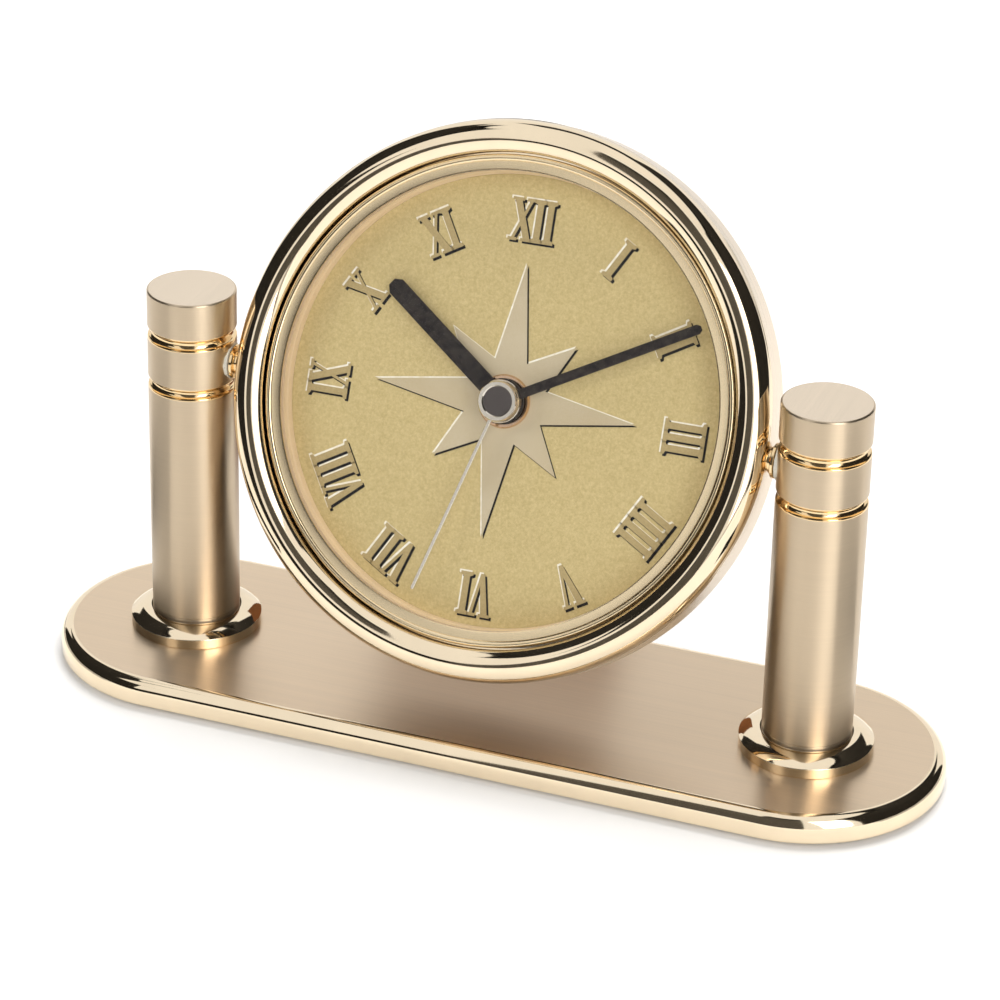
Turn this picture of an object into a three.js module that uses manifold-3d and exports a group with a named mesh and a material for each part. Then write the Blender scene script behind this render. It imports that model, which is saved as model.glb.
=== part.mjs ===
// Desk clock: a round quartz clock head that swivels between two turned posts on a round-ended base plate.
// Millimetres: X along the base, the dial looks towards -Y, +Z is up, the origin is under the base's middle.
import * as THREE from "three";
import { mergeVertices } from "three/addons/utils/BufferGeometryUtils.js";
import Module from "manifold-3d";

const wasm = await Module();
wasm.setup();

// Clearances
const seatGap = 0.2; // between fixed pieces of the turned head
const runGap = 0.3; // round anything that turns or slides
const overshoot = 1; // how far a cutter stands out of what it cuts
const weld = 0.1; // how far joined bodies enter each other

// Base plate and its felt
const baseEnd = 24.65; // from the axis of a post to the end of the plate
const baseWidth = 51.1;
const baseSide = 2.1; // upright part of the edge
const baseEdgeRound = 2.6; // height of the rounded part of the edge
const baseEdgeInset = 2.3;
const feltThickness = 1;
const feltInset = 3;

// Posts
const postDiameter = 15.875;
const pivotAboveBase = 53.7;
const collarHeight = 7.7; // the band that holds the pivot
const lowerGroove = 1.7;
const upperGroove = 1.9;
const grooveDepth = 0.9;
const capHeight = 6.9;
const postEdge = 0.3;
const bandHeight = 1.4; // shallow polished band over the foot ring
const bandDepth = 0.2;
const footRingDiameter = 23.7;
const footRingSide = 1.4;
const footRingRound = 0.7; // height of its rounded shoulder
const footRingShoulder = 3.4; // width of that shoulder

// Post screws
const screwDiameter = 5;
const screwHeadDiameter = 9.5;
const screwHeadHeight = 2.4;
const screwDepthInPost = 12;
const screwTipBevel = 0.5;
const hexAcrossFlats = 3;

// Pivots
const pivotGap = 1.56; // between the head and a post
const journalDiameter = 4;
const journalLength = 7.5;
const journalEndGap = 1;
const bushWall = 0.9;
const pinNeckDiameter = 4.6;
const pinNeckLength = 0.5;
const pinDiscDiameter = 6.1;
const pinStudDiameter = 4;
const pinStudLength = 4.2;

// Head: heights are measured forward from the dial face
const tiltBack = THREE.MathUtils.degToRad(24.7);
const axisDrop = 1.48; // the pivot axis lies this far under the centre of the dial
const axisDepth = 1.7; // and this far in front of its face
const drumDiameter = 97.3;
const drumFront = 5.15; // where the straight side ends
const drumRear = -3.9;
const drumRearEdge = 0.5;
const drumShoulder = 0.5; // narrow bevel between the side and the bead
const beadTop = 7.4;
const beadWidth = 5.4;
const beadFoot = 5; // height of the crease inside the bead
const recessFloor = 3;
const bezelSeatWidth = 1.15; // step between the bead and the bore

// Clock insert
const bezelTop = 5.4;
const bezelStepWidth = 1.9;
const bezelLip = 0.25; // thickness of the lip over the glass
const bezelFlange = 1.2;
const skirtWall = 0.7;
const skirtRear = -4.9;
const lipOverlap = 0.6; // how far the lip covers the glass
const glassThickness = 1.2;
const glassDome = 1.7;
const glassRings = [1, 0.7, 0.35, 0]; // where its curve is drawn, as shares of the radius
const rehautHeight = 3.1;
const rehautFoot = 1.6; // height of the lower, steeper wall
const rehautFootLean = 0.4;
const rehautShelf = 1.9; // height of the foot of the upper wall
const rehautLean = 0.3;
const dialThickness = 0.5;
const rehautWidth = 1;
const plateThickness = 1.4;
const housingFlangeWidth = 0.8;
const housingWall = 1.6;
const housingFlange = 1.2;
const housingRear = -16.4;
const housingBack = 2.4;
const housingEdge = 0.8;
const snapRingThickness = 0.9;

// Hands: how far short of the dial's edge they end, and their angles clockwise from XII
const hourShortfall = 10.3;
const hourWidth = 3.3;
const hourAngle = 306;
const minuteShortfall = 1.4;
const minuteWidth = 1.7;
const minuteAngle = 61;
const secondShortfall = 3.1;
const secondWidth = 0.6;
const secondAngle = 196;
const handThickness = 0.3;
const needleThickness = 0.2;
const hourHeight = 1.35;
const minuteHeight = 2.2;
const secondHeight = 3.4;
const hubDrop = 0.1; // hubs start this far under their hands
const hourHubDiameter = 8;
const hourHubHeight = 0.6;
const minuteHubDiameter = 7.6;
const minuteHubHeight = 0.9;
const secondCapDiameter = 7.1;
const secondCapHeight = 1.1;

// Centre tubes, from the inside out
const arborDiameter = 1;
const tubeWall = 0.5;
const bushTubeWall = 0.7;
const nutWall = 1.4;
const nutHeight = 0.8;
const nutEdge = 0.2;

// Gear train: wheels and pinions in the order in which they drive each other
const addendum = 0.8; // of the module
const dedendum = 1.2;
const toothRoot = 0.27; // half width of a tooth, of the pitch
const toothTip = 0.11;
const wheelThickness = 0.9;
const wheelGap = 0.4;
const rotorTeeth = 6;
const intermediateTeeth = 30;
const intermediatePinionTeeth = 6;
const secondTeeth = 36;
const secondPinionTeeth = 6;
const thirdTeeth = 45;
const thirdPinionTeeth = 6;
const minuteTeeth = 48;
const cannonTeeth = 8;
const motionTeeth = 24;
const motionPinionTeeth = 8;
const hourTeeth = 32;
const setTeeth = 12;
const rotorModule = 0.38;
const intermediateModule = 0.41;
const minuteModule = 0.31;
const motionModule = 0.52;
const thirdDirection = -30; // degrees anticlockwise from III, seen from the front
const motionDirection = 200;
const intermediateDirection = 110;
const rotorDirection = 150; // seen from the intermediate wheel
const pivotHoleDepth = 0.9;
const arborEndInset = 0.1; // from the bridge's back

// Stepping motor
const magnetDiameter = 6;
const magnetThickness = 2.6;
const statorThickness = 1;
const statorRim = 1.2;
const statorBarWidth = 3;
const statorBeamRise = 2.5; // middle of the cross beam over the rotor
const coilY = 24;
const coilMiddleX = -12;
const coilPadSpacing = 21;
const coilLength = 16;
const coilDiameter = 6.8;
const coilFlange = 0.8;
const coilFlangeDiameter = 8;
const coilTubeDiameter = 5;
const coreWidth = 3;
const coreThickness = 1;
const coilScrewDiameter = 1.6;
const coilScrewHeadDiameter = 3;
const coilScrewHead = 0.8;
const coilScrewDepth = 2; // past the stator

// Train bridge
const bridgeThickness = 1;
const bossDiameter = 4;
const rightBossDistance = 15.3; // bosses stand round the centre, and are placed as the wheels are
const rightBossDirection = 32;
const lowerBossDistance = 13.6;
const lowerBossDirection = 253;
const leftBossDistance = 18;
const leftBossDirection = 167;
const armWidth = 5;
const bridgeScrewDiameter = 1.6;
const bridgeScrewHeadDiameter = 3.2;
const bridgeScrewHead = 0.8;
const bridgeScrewDepth = 3; // past the bridge

// Circuit board
const boardMiddleX = 15;
const boardMiddleY = 18.5;
const boardWidth = 18;
const boardHeight = 15;
const boardThickness = 1;
const boardBossHeight = 2.7;
const boardBossDiameter = 3.2;
const boardPinDiameter = 1.6;
const boardPinInset = 3;
const boardPinEnd = 0.4; // pins stand out behind the board
const chipDiameter = 6;
const chipHeight = 1.4;
const chipShoulder = 1.25;
const crystalDiameter = 3;
const crystalLength = 8;

// Battery, its contacts and its door
const batteryDiameter = 10.5;
const batteryLength = 43.3;
const batteryNipple = 1.2;
const batteryNippleDiameter = 3.8;
const batterySideGap = 0.5;
const bayMargin = 1.3; // between the bay's corners and the housing's wall
const contactThickness = 0.4;
const contactWidth = 7;
const contactWallThickness = 1.2;
const doorOverlap = 1.3; // round the bay
const doorThickness = 1.1;
const doorUndercut = 0.8;
const doorLipThickness = 0.5;
const doorRibs = 5;
const doorRibSpacing = 1.6;
const doorRibHeight = 0.5;

// Set knob on the back
const setArborDiameter = 1.8;
const knobDiameter = 13;
const knobHeight = 3.2;
const knobFlutes = 12;
const knobFluteDepth = 0.5;

// Round pieces are drawn with these numbers of sides
const drumSides = 40;
const discSides = 24;
const postSides = 24;
const tubeSides = 12;
const pinSides = 8;
const baseEndSteps = 8;
const arcSteps = 3;
const mergeDistance = 1e-4;

const tau = 2 * Math.PI;
const radians = THREE.MathUtils.degToRad;

function material(color, roughness, metalness) {
  return new THREE.MeshStandardMaterial({ color, roughness, metalness });
}

const brushedBrass = material(0xd8c4a4, 0.38, 1);
const polishedBrass = material(0xe6cc9a, 0.1, 1);
const steel = material(0xb8bbc0, 0.3, 1);
const blackenedBrass = material(0x2b2725, 0.45, 0.6);
const dialGold = material(0xc8b485, 0.6, 0.4);
const paleRing = material(0xdcc7ae, 0.4, 0.6);
const clearGlass = material(0xf2f6f6, 0.02, 0);
const blackPlastic = material(0x1d1d1f, 0.5, 0);
const naturalPlastic = material(0xe8e4d8, 0.5, 0);
const blackRubber = material(0x19191a, 0.9, 0);
const felt = material(0x232323, 1, 0);
const copper = material(0xb5653a, 0.35, 1);
const boardGreen = material(0x2f5d3a, 0.6, 0);

// Solids from geometries, for cutting and joining
function solid(geometry) {
  const bare = geometry.index ? geometry.toNonIndexed() : geometry.clone();
  bare.deleteAttribute("normal");
  bare.deleteAttribute("uv");
  const merged = mergeVertices(bare, mergeDistance);
  const vertProperties = new Float32Array(merged.attributes.position.array);
  const triVerts = new Uint32Array(merged.index.array);
  return new wasm.Manifold(new wasm.Mesh({ numProp: 3, vertProperties, triVerts }));
}

function geometryOf(manifold) {
  const mesh = manifold.getMesh();
  const geometry = new THREE.BufferGeometry();
  geometry.setAttribute("position", new THREE.BufferAttribute(mesh.vertProperties, 3));
  geometry.setIndex(new THREE.BufferAttribute(mesh.triVerts, 1));
  geometry.computeVertexNormals();
  return geometry;
}

function join(...pieces) {
  return geometryOf(pieces.map(solid).reduce((whole, piece) => whole.add(piece)));
}

function cut(piece, ...tools) {
  return geometryOf(tools.map(solid).reduce((whole, tool) => whole.subtract(tool), solid(piece)));
}

function common(piece, tool) {
  return geometryOf(solid(piece).intersect(solid(tool)));
}

// A solid of revolution round Z: the profile lists [radius, height] anticlockwise and closes on itself
function turned(profile, sides) {
  const closed = [...profile, profile[0]];
  const points = closed.map(([radius, height]) => new THREE.Vector2(radius, height));
  const geometry = new THREE.LatheGeometry(points, sides);
  geometry.rotateX(Math.PI / 2);
  return geometry;
}

function ring(innerRadius, outerRadius, bottom, top, sides) {
  const profile = [[innerRadius, bottom], [outerRadius, bottom], [outerRadius, top], [innerRadius, top]];
  return turned(profile, sides);
}

function disc(radius, bottom, top, sides, x = 0, y = 0) {
  const geometry = new THREE.CylinderGeometry(radius, radius, top - bottom, sides);
  geometry.rotateX(Math.PI / 2);
  geometry.translate(x, y, (top + bottom) / 2);
  return geometry;
}

function block(width, depth, bottom, top, x = 0, y = 0) {
  const geometry = new THREE.BoxGeometry(width, depth, top - bottom);
  geometry.translate(x, y, (top + bottom) / 2);
  return geometry;
}

function slab(shape, bottom, top, steps = 1) {
  const geometry = new THREE.ExtrudeGeometry(shape, {
    depth: top - bottom,
    bevelEnabled: false,
    curveSegments: steps,
  });
  geometry.translate(0, 0, bottom);
  return geometry;
}

// Lays a solid that was turned round Z along X, towards side 1 or -1
function alongX(geometry, side) {
  geometry.rotateY((side * Math.PI) / 2);
  return geometry;
}

// Points on a quarter or half ellipse, both ends included
function arc(centreRadius, centreHeight, radiusSize, heightSize, from, to, steps) {
  return Array.from({ length: steps + 1 }, (_, i) => {
    const angle = radians(from + ((to - from) * i) / steps);
    return [centreRadius + radiusSize * Math.cos(angle), centreHeight + heightSize * Math.sin(angle)];
  });
}

function stadium(length, width) {
  const radius = width / 2;
  const half = length / 2 - radius;
  const shape = new THREE.Shape();
  shape.moveTo(-half, -radius);
  shape.lineTo(half, -radius);
  shape.absarc(half, 0, radius, -Math.PI / 2, Math.PI / 2, false);
  shape.lineTo(-half, radius);
  shape.absarc(-half, 0, radius, Math.PI / 2, (3 * Math.PI) / 2, false);
  return shape;
}

const parts = new THREE.Group();

function add(parent, name, geometry, finish) {
  const mesh = new THREE.Mesh(geometry, finish);
  mesh.name = name;
  parent.add(mesh);
  return mesh;
}

// Stand
const drumRadius = drumDiameter / 2;
const postSpacing = drumDiameter + 2 * pivotGap + postDiameter;
const baseLength = postSpacing + 2 * baseEnd;
const plateBottom = feltThickness;
const baseThickness = baseSide + baseEdgeRound;
const baseTop = plateBottom + baseThickness;
const pivotHeight = baseTop + pivotAboveBase;
const postRadius = postDiameter / 2;
const screwRadius = screwDiameter / 2;
const screwHeadRadius = screwHeadDiameter / 2;
const screwHole = screwRadius + seatGap;
const journalRadius = journalDiameter / 2;
const bushBore = journalRadius + runGap;
const bushRadius = bushBore + bushWall;
const bushLength = journalLength + journalEndGap;
const bushHole = bushRadius + seatGap;
const sides = [
  ["left", -1],
  ["right", 1],
];

// The rounded edge comes from a bevel on both faces of a thicker slab, whose lower half is cut off
function basePlate() {
  const geometry = new THREE.ExtrudeGeometry(
    stadium(baseLength - 2 * baseEdgeInset, baseWidth - 2 * baseEdgeInset),
    {
      depth: 2 * baseSide,
      bevelThickness: baseEdgeRound,
      bevelSize: baseEdgeInset,
      bevelSegments: arcSteps,
      curveSegments: baseEndSteps,
    },
  );
  geometry.translate(0, 0, plateBottom - baseSide);
  const above = block(2 * baseLength, 2 * baseWidth, plateBottom, plateBottom + 2 * baseThickness);
  const holes = sides.flatMap(([, side]) => {
    const x = (side * postSpacing) / 2;
    return [
      disc(screwHole, 0, baseTop + overshoot, tubeSides, x),
      disc(screwHeadRadius + seatGap, 0, plateBottom + screwHeadHeight, tubeSides, x),
    ];
  });
  return cut(common(geometry, above), ...holes);
}

function feltPad() {
  return slab(stadium(baseLength - 2 * feltInset, baseWidth - 2 * feltInset), 0, feltThickness, baseEndSteps);
}

// Heights inside a post are measured from the top of the base plate
function groove(bottom, height) {
  const middle = bottom + height / 2;
  return arc(postRadius, middle, grooveDepth, height / 2, 270, 90, arcSteps);
}

function post(side) {
  const collarBottom = pivotAboveBase - collarHeight / 2;
  const collarTop = pivotAboveBase + collarHeight / 2;
  const top = collarTop + upperGroove + capHeight;
  const bandBottom = footRingSide + footRingRound;
  const profile = [
    [0, 0],
    [postRadius, 0],
    [postRadius, bandBottom],
    [postRadius - bandDepth, bandBottom],
    [postRadius - bandDepth, bandBottom + bandHeight],
    [postRadius, bandBottom + bandHeight],
    ...groove(collarBottom - lowerGroove, lowerGroove),
    ...groove(collarTop, upperGroove),
    [postRadius, top - postEdge],
    [postRadius - postEdge, top],
    [0, top],
  ];
  const crossBore = alongX(disc(bushHole, 0, 2 * postRadius, tubeSides), -side);
  crossBore.translate(side * (bushLength - postRadius), 0, pivotAboveBase);
  const threadHole = disc(screwHole, -overshoot, screwDepthInPost + seatGap, tubeSides);
  return cut(turned(profile, postSides), crossBore, threadHole);
}

function footRing() {
  const bore = postRadius + runGap;
  const radius = footRingDiameter / 2;
  const corner = arc(radius - footRingShoulder, footRingSide, footRingShoulder, footRingRound, 0, 90, arcSteps);
  const profile = [[bore, 0], [radius, 0], ...corner, [bore, footRingSide + footRingRound]];
  return turned(profile, postSides);
}

function postScrew() {
  const headTop = plateBottom + screwHeadHeight;
  const tip = baseTop + screwDepthInPost;
  const profile = [
    [0, plateBottom + seatGap],
    [screwHeadRadius, plateBottom + seatGap],
    [screwHeadRadius, headTop],
    [screwRadius, headTop],
    [screwRadius, tip - screwTipBevel],
    [screwRadius - screwTipBevel, tip],
    [0, tip],
  ];
  const socket = disc(hexAcrossFlats / Math.sqrt(3), 0, plateBottom + screwHeadHeight / 2, 6);
  return cut(turned(profile, tubeSides), socket);
}

function frictionBush() {
  return ring(bushBore, bushRadius, 0, bushLength - seatGap, tubeSides);
}

const stand = new THREE.Group();
parts.add(stand);
add(stand, "base_plate", basePlate(), brushedBrass);
add(stand, "base_felt", feltPad(), felt);
for (const [name, side] of sides) {
  const x = (side * postSpacing) / 2;
  const innerFace = x - side * postRadius;
  add(stand, name + "_post", post(side), brushedBrass).position.set(x, 0, baseTop);
  add(stand, name + "_foot_ring", footRing(), polishedBrass).position.set(x, 0, baseTop);
  add(stand, name + "_post_screw", postScrew(), steel).position.set(x, 0, 0);
  const bush = alongX(frictionBush(), side);
  add(stand, name + "_friction_bush", bush, naturalPlastic).position.set(innerFace, 0, pivotHeight);
}

// Head: Z is forward out of the dial, Y is up in the dial
const head = new THREE.Group();
head.position.z = pivotHeight;
head.rotation.x = Math.PI / 2 - tiltBack;
parts.add(head);

const clock = new THREE.Group();
clock.position.set(0, axisDrop, -axisDepth);
head.add(clock);

const beadInnerRadius = drumRadius - drumShoulder - beadWidth;
const boreRadius = beadInnerRadius - bezelSeatWidth;
const studRadius = pinStudDiameter / 2;

// The stud is screwed into the drum, and the journal turns in the bush
function pivotPin() {
  const neckStart = drumRadius + seatGap;
  const discStart = neckStart + pinNeckLength;
  const discEnd = drumRadius + pivotGap - seatGap;
  const journalEnd = discEnd + seatGap + journalLength;
  const profile = [
    [0, neckStart - pinStudLength],
    [studRadius, neckStart - pinStudLength],
    [studRadius, neckStart],
    [pinNeckDiameter / 2, neckStart],
    [pinNeckDiameter / 2, discStart],
    [pinDiscDiameter / 2, discStart],
    [pinDiscDiameter / 2, discEnd],
    [journalRadius, discEnd],
    [journalRadius, journalEnd],
    [0, journalEnd],
  ];
  return turned(profile, tubeSides);
}

function caseRing() {
  const beadOuter = drumRadius - drumShoulder;
  const beadMiddle = (beadOuter + beadInnerRadius) / 2;
  const beadHalf = (beadOuter - beadInnerRadius) / 2;
  const outerFoot = drumFront + drumShoulder;
  const profile = [
    [boreRadius, drumRear],
    [drumRadius - drumRearEdge, drumRear],
    [drumRadius, drumRear + drumRearEdge],
    [drumRadius, drumFront],
    ...arc(beadMiddle, outerFoot, beadHalf, beadTop - outerFoot, 0, 90, arcSteps),
    ...arc(beadMiddle, beadFoot, beadHalf, beadTop - beadFoot, 90, 180, arcSteps).slice(1),
    [beadInnerRadius, recessFloor],
    [boreRadius, recessFloor],
  ];
  const studHoles = sides.map(([, side]) => {
    const hole = disc(studRadius + seatGap, drumRadius - pinStudLength, drumRadius + overshoot, tubeSides);
    return alongX(hole, side).translate(0, -axisDrop, axisDepth);
  });
  return cut(turned(profile, drumSides), ...studHoles);
}

const skirtRadius = boreRadius - runGap;
const skirtBore = skirtRadius - skirtWall;
const insertRadius = skirtBore - runGap; // glass, rehaut, dial and plate fit inside the skirt
const flangeBottom = beadFoot - bezelFlange;
const lipBottom = beadFoot - bezelLip;
const glassFront = lipBottom - seatGap / 2;
const glassBack = glassFront - glassThickness;
const lipRadius = insertRadius - lipOverlap;
const sightRadius = insertRadius - rehautWidth;

function bezelRing() {
  const flangeRadius = beadInnerRadius - runGap;
  const stepRadius = flangeRadius - bezelStepWidth;
  const middle = (flangeRadius + stepRadius) / 2;
  const bulge = arc(middle, beadFoot, bezelStepWidth / 2, bezelTop - beadFoot, 0, 180, arcSteps);
  const profile = [
    [skirtBore, skirtRear],
    [skirtRadius, skirtRear],
    [skirtRadius, flangeBottom],
    [flangeRadius, flangeBottom],
    ...bulge,
    [lipRadius, beadFoot - bezelLip / 4],
    [lipRadius, lipBottom],
    [skirtBore, lipBottom],
  ];
  return turned(profile, drumSides);
}

function insertGasket() {
  const inner = boreRadius + runGap;
  const outer = beadInnerRadius - runGap;
  return ring(inner, outer, recessFloor + seatGap, flangeBottom - seatGap, discSides);
}

// Both faces of the glass are parts of spheres with the same rise
function glass() {
  const sphere = (insertRadius ** 2 + glassDome ** 2) / (2 * glassDome);
  const rise = (radius) => glassDome - sphere + Math.sqrt(sphere ** 2 - radius ** 2);
  const radii = glassRings.map((share) => share * insertRadius);
  const front = radii.map((radius) => [radius, glassFront + rise(radius)]);
  const back = radii.map((radius) => [radius, glassBack + rise(radius)]).reverse();
  return turned([...back, ...front], discSides);
}

function rehaut() {
  const bottom = seatGap / 2;
  const top = bottom + rehautHeight;
  const profile = [
    [sightRadius, bottom],
    [insertRadius, bottom],
    [insertRadius, top],
    [lipRadius, top],
    [lipRadius - rehautLean, bottom + rehautShelf],
    [sightRadius + rehautFootLean, bottom + rehautFoot],
  ];
  return turned(profile, discSides);
}

// Centre tubes: arbor, minute tube, hour tube, threaded bush, nut
const arborRadius = arborDiameter / 2;
const minuteTubeBore = arborRadius + runGap;
const minuteTube = minuteTubeBore + tubeWall;
const hourTubeBore = minuteTube + runGap;
const hourTube = hourTubeBore + tubeWall;
const bushTubeBore = hourTube + runGap;
const bushTube = bushTubeBore + bushTubeWall;
const bushTop = seatGap / 2 + nutHeight;
const nutBore = bushTube + seatGap;
const nutRadius = nutBore + nutWall;

// Depths behind the dial
const dialBack = -dialThickness;
const plateFront = dialBack - seatGap;
const plateBack = plateFront - plateThickness;
const housingFront = plateBack - seatGap;
const housingInside = housingRear + housingBack;

function dialDisc() {
  return ring(nutBore, insertRadius, dialBack, 0, discSides);
}

function centreNut() {
  const bottom = seatGap / 2;
  const top = bottom + nutHeight;
  const profile = [
    [nutBore, bottom],
    [nutRadius, bottom],
    [nutRadius, top - nutEdge],
    [nutRadius - nutEdge, top],
    [nutBore, top],
  ];
  return turned(profile, tubeSides);
}

// The insert's fixed pieces in front of the movement
add(head, "left_pivot_pin", alongX(pivotPin(), -1), polishedBrass);
add(head, "right_pivot_pin", alongX(pivotPin(), 1), polishedBrass);
add(clock, "case_ring", caseRing(), brushedBrass);
add(clock, "bezel_ring", bezelRing(), polishedBrass);
add(clock, "insert_gasket", insertGasket(), blackRubber);
add(clock, "glass", glass(), clearGlass);
add(clock, "rehaut_ring", rehaut(), paleRing);
add(clock, "dial", dialDisc(), dialGold);
add(clock, "centre_nut", centreNut(), polishedBrass);

// Levels of the train, counted back from the plate
function level(number) {
  const top = plateBack - seatGap - wheelGap - (number - 1) * (wheelThickness + wheelGap);
  return [top - wheelThickness, top];
}

const bridgeFront = level(6)[0] - wheelGap - seatGap;
const bridgeBack = bridgeFront - bridgeThickness;
const arborFront = plateBack + pivotHoleDepth - runGap;
const arborRear = bridgeBack + arborEndInset;

// Centre distances; where two pairs share their centres, the second pair's module follows from the first
const thirdDistance = (minuteModule * (thirdPinionTeeth + minuteTeeth)) / 2;
const secondModule = (2 * thirdDistance) / (secondPinionTeeth + thirdTeeth);
const motionDistance = (motionModule * (cannonTeeth + motionTeeth)) / 2;
const hourModule = (2 * motionDistance) / (motionPinionTeeth + hourTeeth);
const intermediateDistance = (intermediateModule * (intermediatePinionTeeth + secondTeeth)) / 2;
const rotorDistance = (rotorModule * (rotorTeeth + intermediateTeeth)) / 2;
const setDistance = (motionModule * (motionTeeth + setTeeth)) / 2;

function from([x, y], distance, direction) {
  return [x + distance * Math.cos(radians(direction)), y + distance * Math.sin(radians(direction))];
}

const centre = [0, 0];
const thirdAt = from(centre, thirdDistance, thirdDirection);
const motionAt = from(centre, motionDistance, motionDirection);
const setAt = from(motionAt, setDistance, motionDirection);
const intermediateAt = from(centre, intermediateDistance, intermediateDirection);
const rotorAt = from(intermediateAt, rotorDistance, rotorDirection);

// Outline of a gear with straight-sided teeth; one tooth points in the given direction
function gear(teeth, module, direction, [bottom, top]) {
  const outline = [];
  for (let i = 0; i < teeth; i += 1) {
    const middle = radians(direction) + (i * tau) / teeth;
    const root = module * (teeth / 2 - dedendum);
    const tip = module * (teeth / 2 + addendum);
    const rootAngle = (toothRoot * tau) / teeth;
    const tipAngle = (toothTip * tau) / teeth;
    outline.push([root, middle - rootAngle], [tip, middle - tipAngle]);
    outline.push([tip, middle + tipAngle], [root, middle + rootAngle]);
  }
  const points = outline.map(([r, a]) => new THREE.Vector2(r * Math.cos(a), r * Math.sin(a)));
  return slab(new THREE.Shape(points), bottom, top);
}

// Direction of a tooth on the follower, when the driver has a tooth at the given angle and the follower lies
// in the given direction: on the line of centres a tooth of one faces a gap of the other
function meshing(tooth, teeth, direction, followerTeeth) {
  const pitches = ((tooth - direction) * teeth) / 360;
  return direction + 180 + ((1 / 2 - pitches) * 360) / followerTeeth;
}

function hand(length, width, tip, start, thickness, height) {
  const half = width / 2;
  const outline = [
    [-half, start],
    [half, start],
    [half, length - tip],
    [half - tip / 2, length],
    [tip / 2 - half, length],
    [-half, length - tip],
  ];
  const shape = new THREE.Shape(outline.map(([x, y]) => new THREE.Vector2(x, y)));
  return slab(shape, height, height + thickness);
}

function clockwise(geometry, degrees) {
  geometry.rotateZ(-radians(degrees));
  return geometry;
}

// The hands' hubs sit on their tubes, and the second hand's cap covers the end of its arbor
const hourLength = sightRadius - hourShortfall;
const minuteLength = sightRadius - minuteShortfall;
const secondLength = sightRadius - secondShortfall;
const hourHubBottom = hourHeight - hubDrop;
const hourHubTop = hourHubBottom + hourHubHeight;
const minuteHubBottom = minuteHeight - hubDrop;
const minuteHubTop = minuteHubBottom + minuteHubHeight;
const secondCapBottom = secondHeight - hubDrop;
const secondCapTop = secondCapBottom + secondCapHeight;
const secondArborTop = secondCapBottom + secondCapHeight / 2;

function hourHand() {
  const start = hourTube + 2 * seatGap;
  const baton = hand(hourLength, hourWidth, hourWidth / 3, start, handThickness, hourHeight);
  const hub = disc(hourHubDiameter / 2, hourHubBottom, hourHubTop, tubeSides);
  const bore = disc(hourTube + seatGap, 0, hourHubTop + overshoot, tubeSides);
  return cut(join(clockwise(baton, hourAngle), hub), bore);
}

function minuteHand() {
  const start = minuteTube + 2 * seatGap;
  const baton = hand(minuteLength, minuteWidth, minuteWidth / 2, start, handThickness, minuteHeight);
  const hub = disc(minuteHubDiameter / 2, minuteHubBottom, minuteHubTop, tubeSides);
  const bore = disc(minuteTube + seatGap, 0, minuteHubTop + overshoot, tubeSides);
  return cut(join(clockwise(baton, minuteAngle), hub), bore);
}

function secondHand() {
  const needle = hand(secondLength, secondWidth, secondWidth, 0, needleThickness, secondHeight);
  const cap = disc(secondCapDiameter / 2, secondCapBottom, secondCapTop, tubeSides);
  const bore = disc(arborRadius + seatGap, 0, secondArborTop + seatGap, pinSides);
  return cut(join(clockwise(needle, secondAngle), cap), bore);
}

// Going train
function secondWheel() {
  const wheel = gear(secondTeeth, intermediateModule, 0, level(5));
  const pinion = gear(secondPinionTeeth, secondModule, 0, [level(5)[0], level(4)[1]]);
  return join(wheel, pinion, disc(arborRadius, arborRear, secondArborTop, pinSides));
}

function thirdWheel() {
  const tooth = meshing(0, secondPinionTeeth, thirdDirection, thirdTeeth);
  const wheel = gear(thirdTeeth, secondModule, tooth, level(4));
  const pinion = gear(thirdPinionTeeth, minuteModule, 0, [level(4)[0], level(3)[1]]);
  return join(wheel, pinion, disc(arborRadius, arborRear, arborFront, pinSides));
}

function minuteWheel() {
  const tooth = meshing(0, thirdPinionTeeth, thirdDirection + 180, minuteTeeth);
  const wheel = gear(minuteTeeth, minuteModule, tooth, level(3));
  const bore = disc(minuteTube + runGap, level(3)[0] - overshoot, level(3)[1] + overshoot, tubeSides);
  return cut(wheel, bore);
}

function intermediateWheel() {
  const wheel = gear(intermediateTeeth, rotorModule, 0, level(6));
  const tooth = meshing(0, secondTeeth, intermediateDirection, intermediatePinionTeeth);
  const pinion = gear(intermediatePinionTeeth, intermediateModule, tooth, [level(6)[0], level(5)[1]]);
  return join(wheel, pinion, disc(arborRadius, arborRear, arborFront, pinSides));
}

const magnetBottom = level(6)[1] + wheelGap;
const magnetTop = magnetBottom + magnetThickness;

function rotorPinion() {
  const tooth = meshing(0, intermediateTeeth, rotorDirection, rotorTeeth);
  const pinion = gear(rotorTeeth, rotorModule, tooth, [level(6)[0], magnetBottom - seatGap]);
  return join(pinion, disc(arborRadius, arborRear, arborFront, pinSides));
}

function rotorMagnet() {
  return ring(arborRadius + seatGap, magnetDiameter / 2, magnetBottom, magnetTop, tubeSides);
}

// Motion work, which turns the hour hand once for twelve turns of the minute hand
const motionTooth = meshing(0, cannonTeeth, motionDirection, motionTeeth);

function cannonPinion() {
  const tube = disc(minuteTube, level(3)[0], minuteHubTop, tubeSides);
  const pinion = gear(cannonTeeth, motionModule, 0, level(2));
  const bore = disc(minuteTubeBore, level(3)[0] - overshoot, minuteHubTop + overshoot, tubeSides);
  return cut(join(tube, pinion), bore);
}

function motionWheel() {
  const wheel = gear(motionTeeth, motionModule, motionTooth, level(2));
  const pinion = gear(motionPinionTeeth, hourModule, 0, [level(2)[0], level(1)[1]]);
  const bore = disc(arborRadius + runGap, level(2)[0] - overshoot, plateBack, pinSides);
  return cut(join(wheel, pinion), bore);
}

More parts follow.
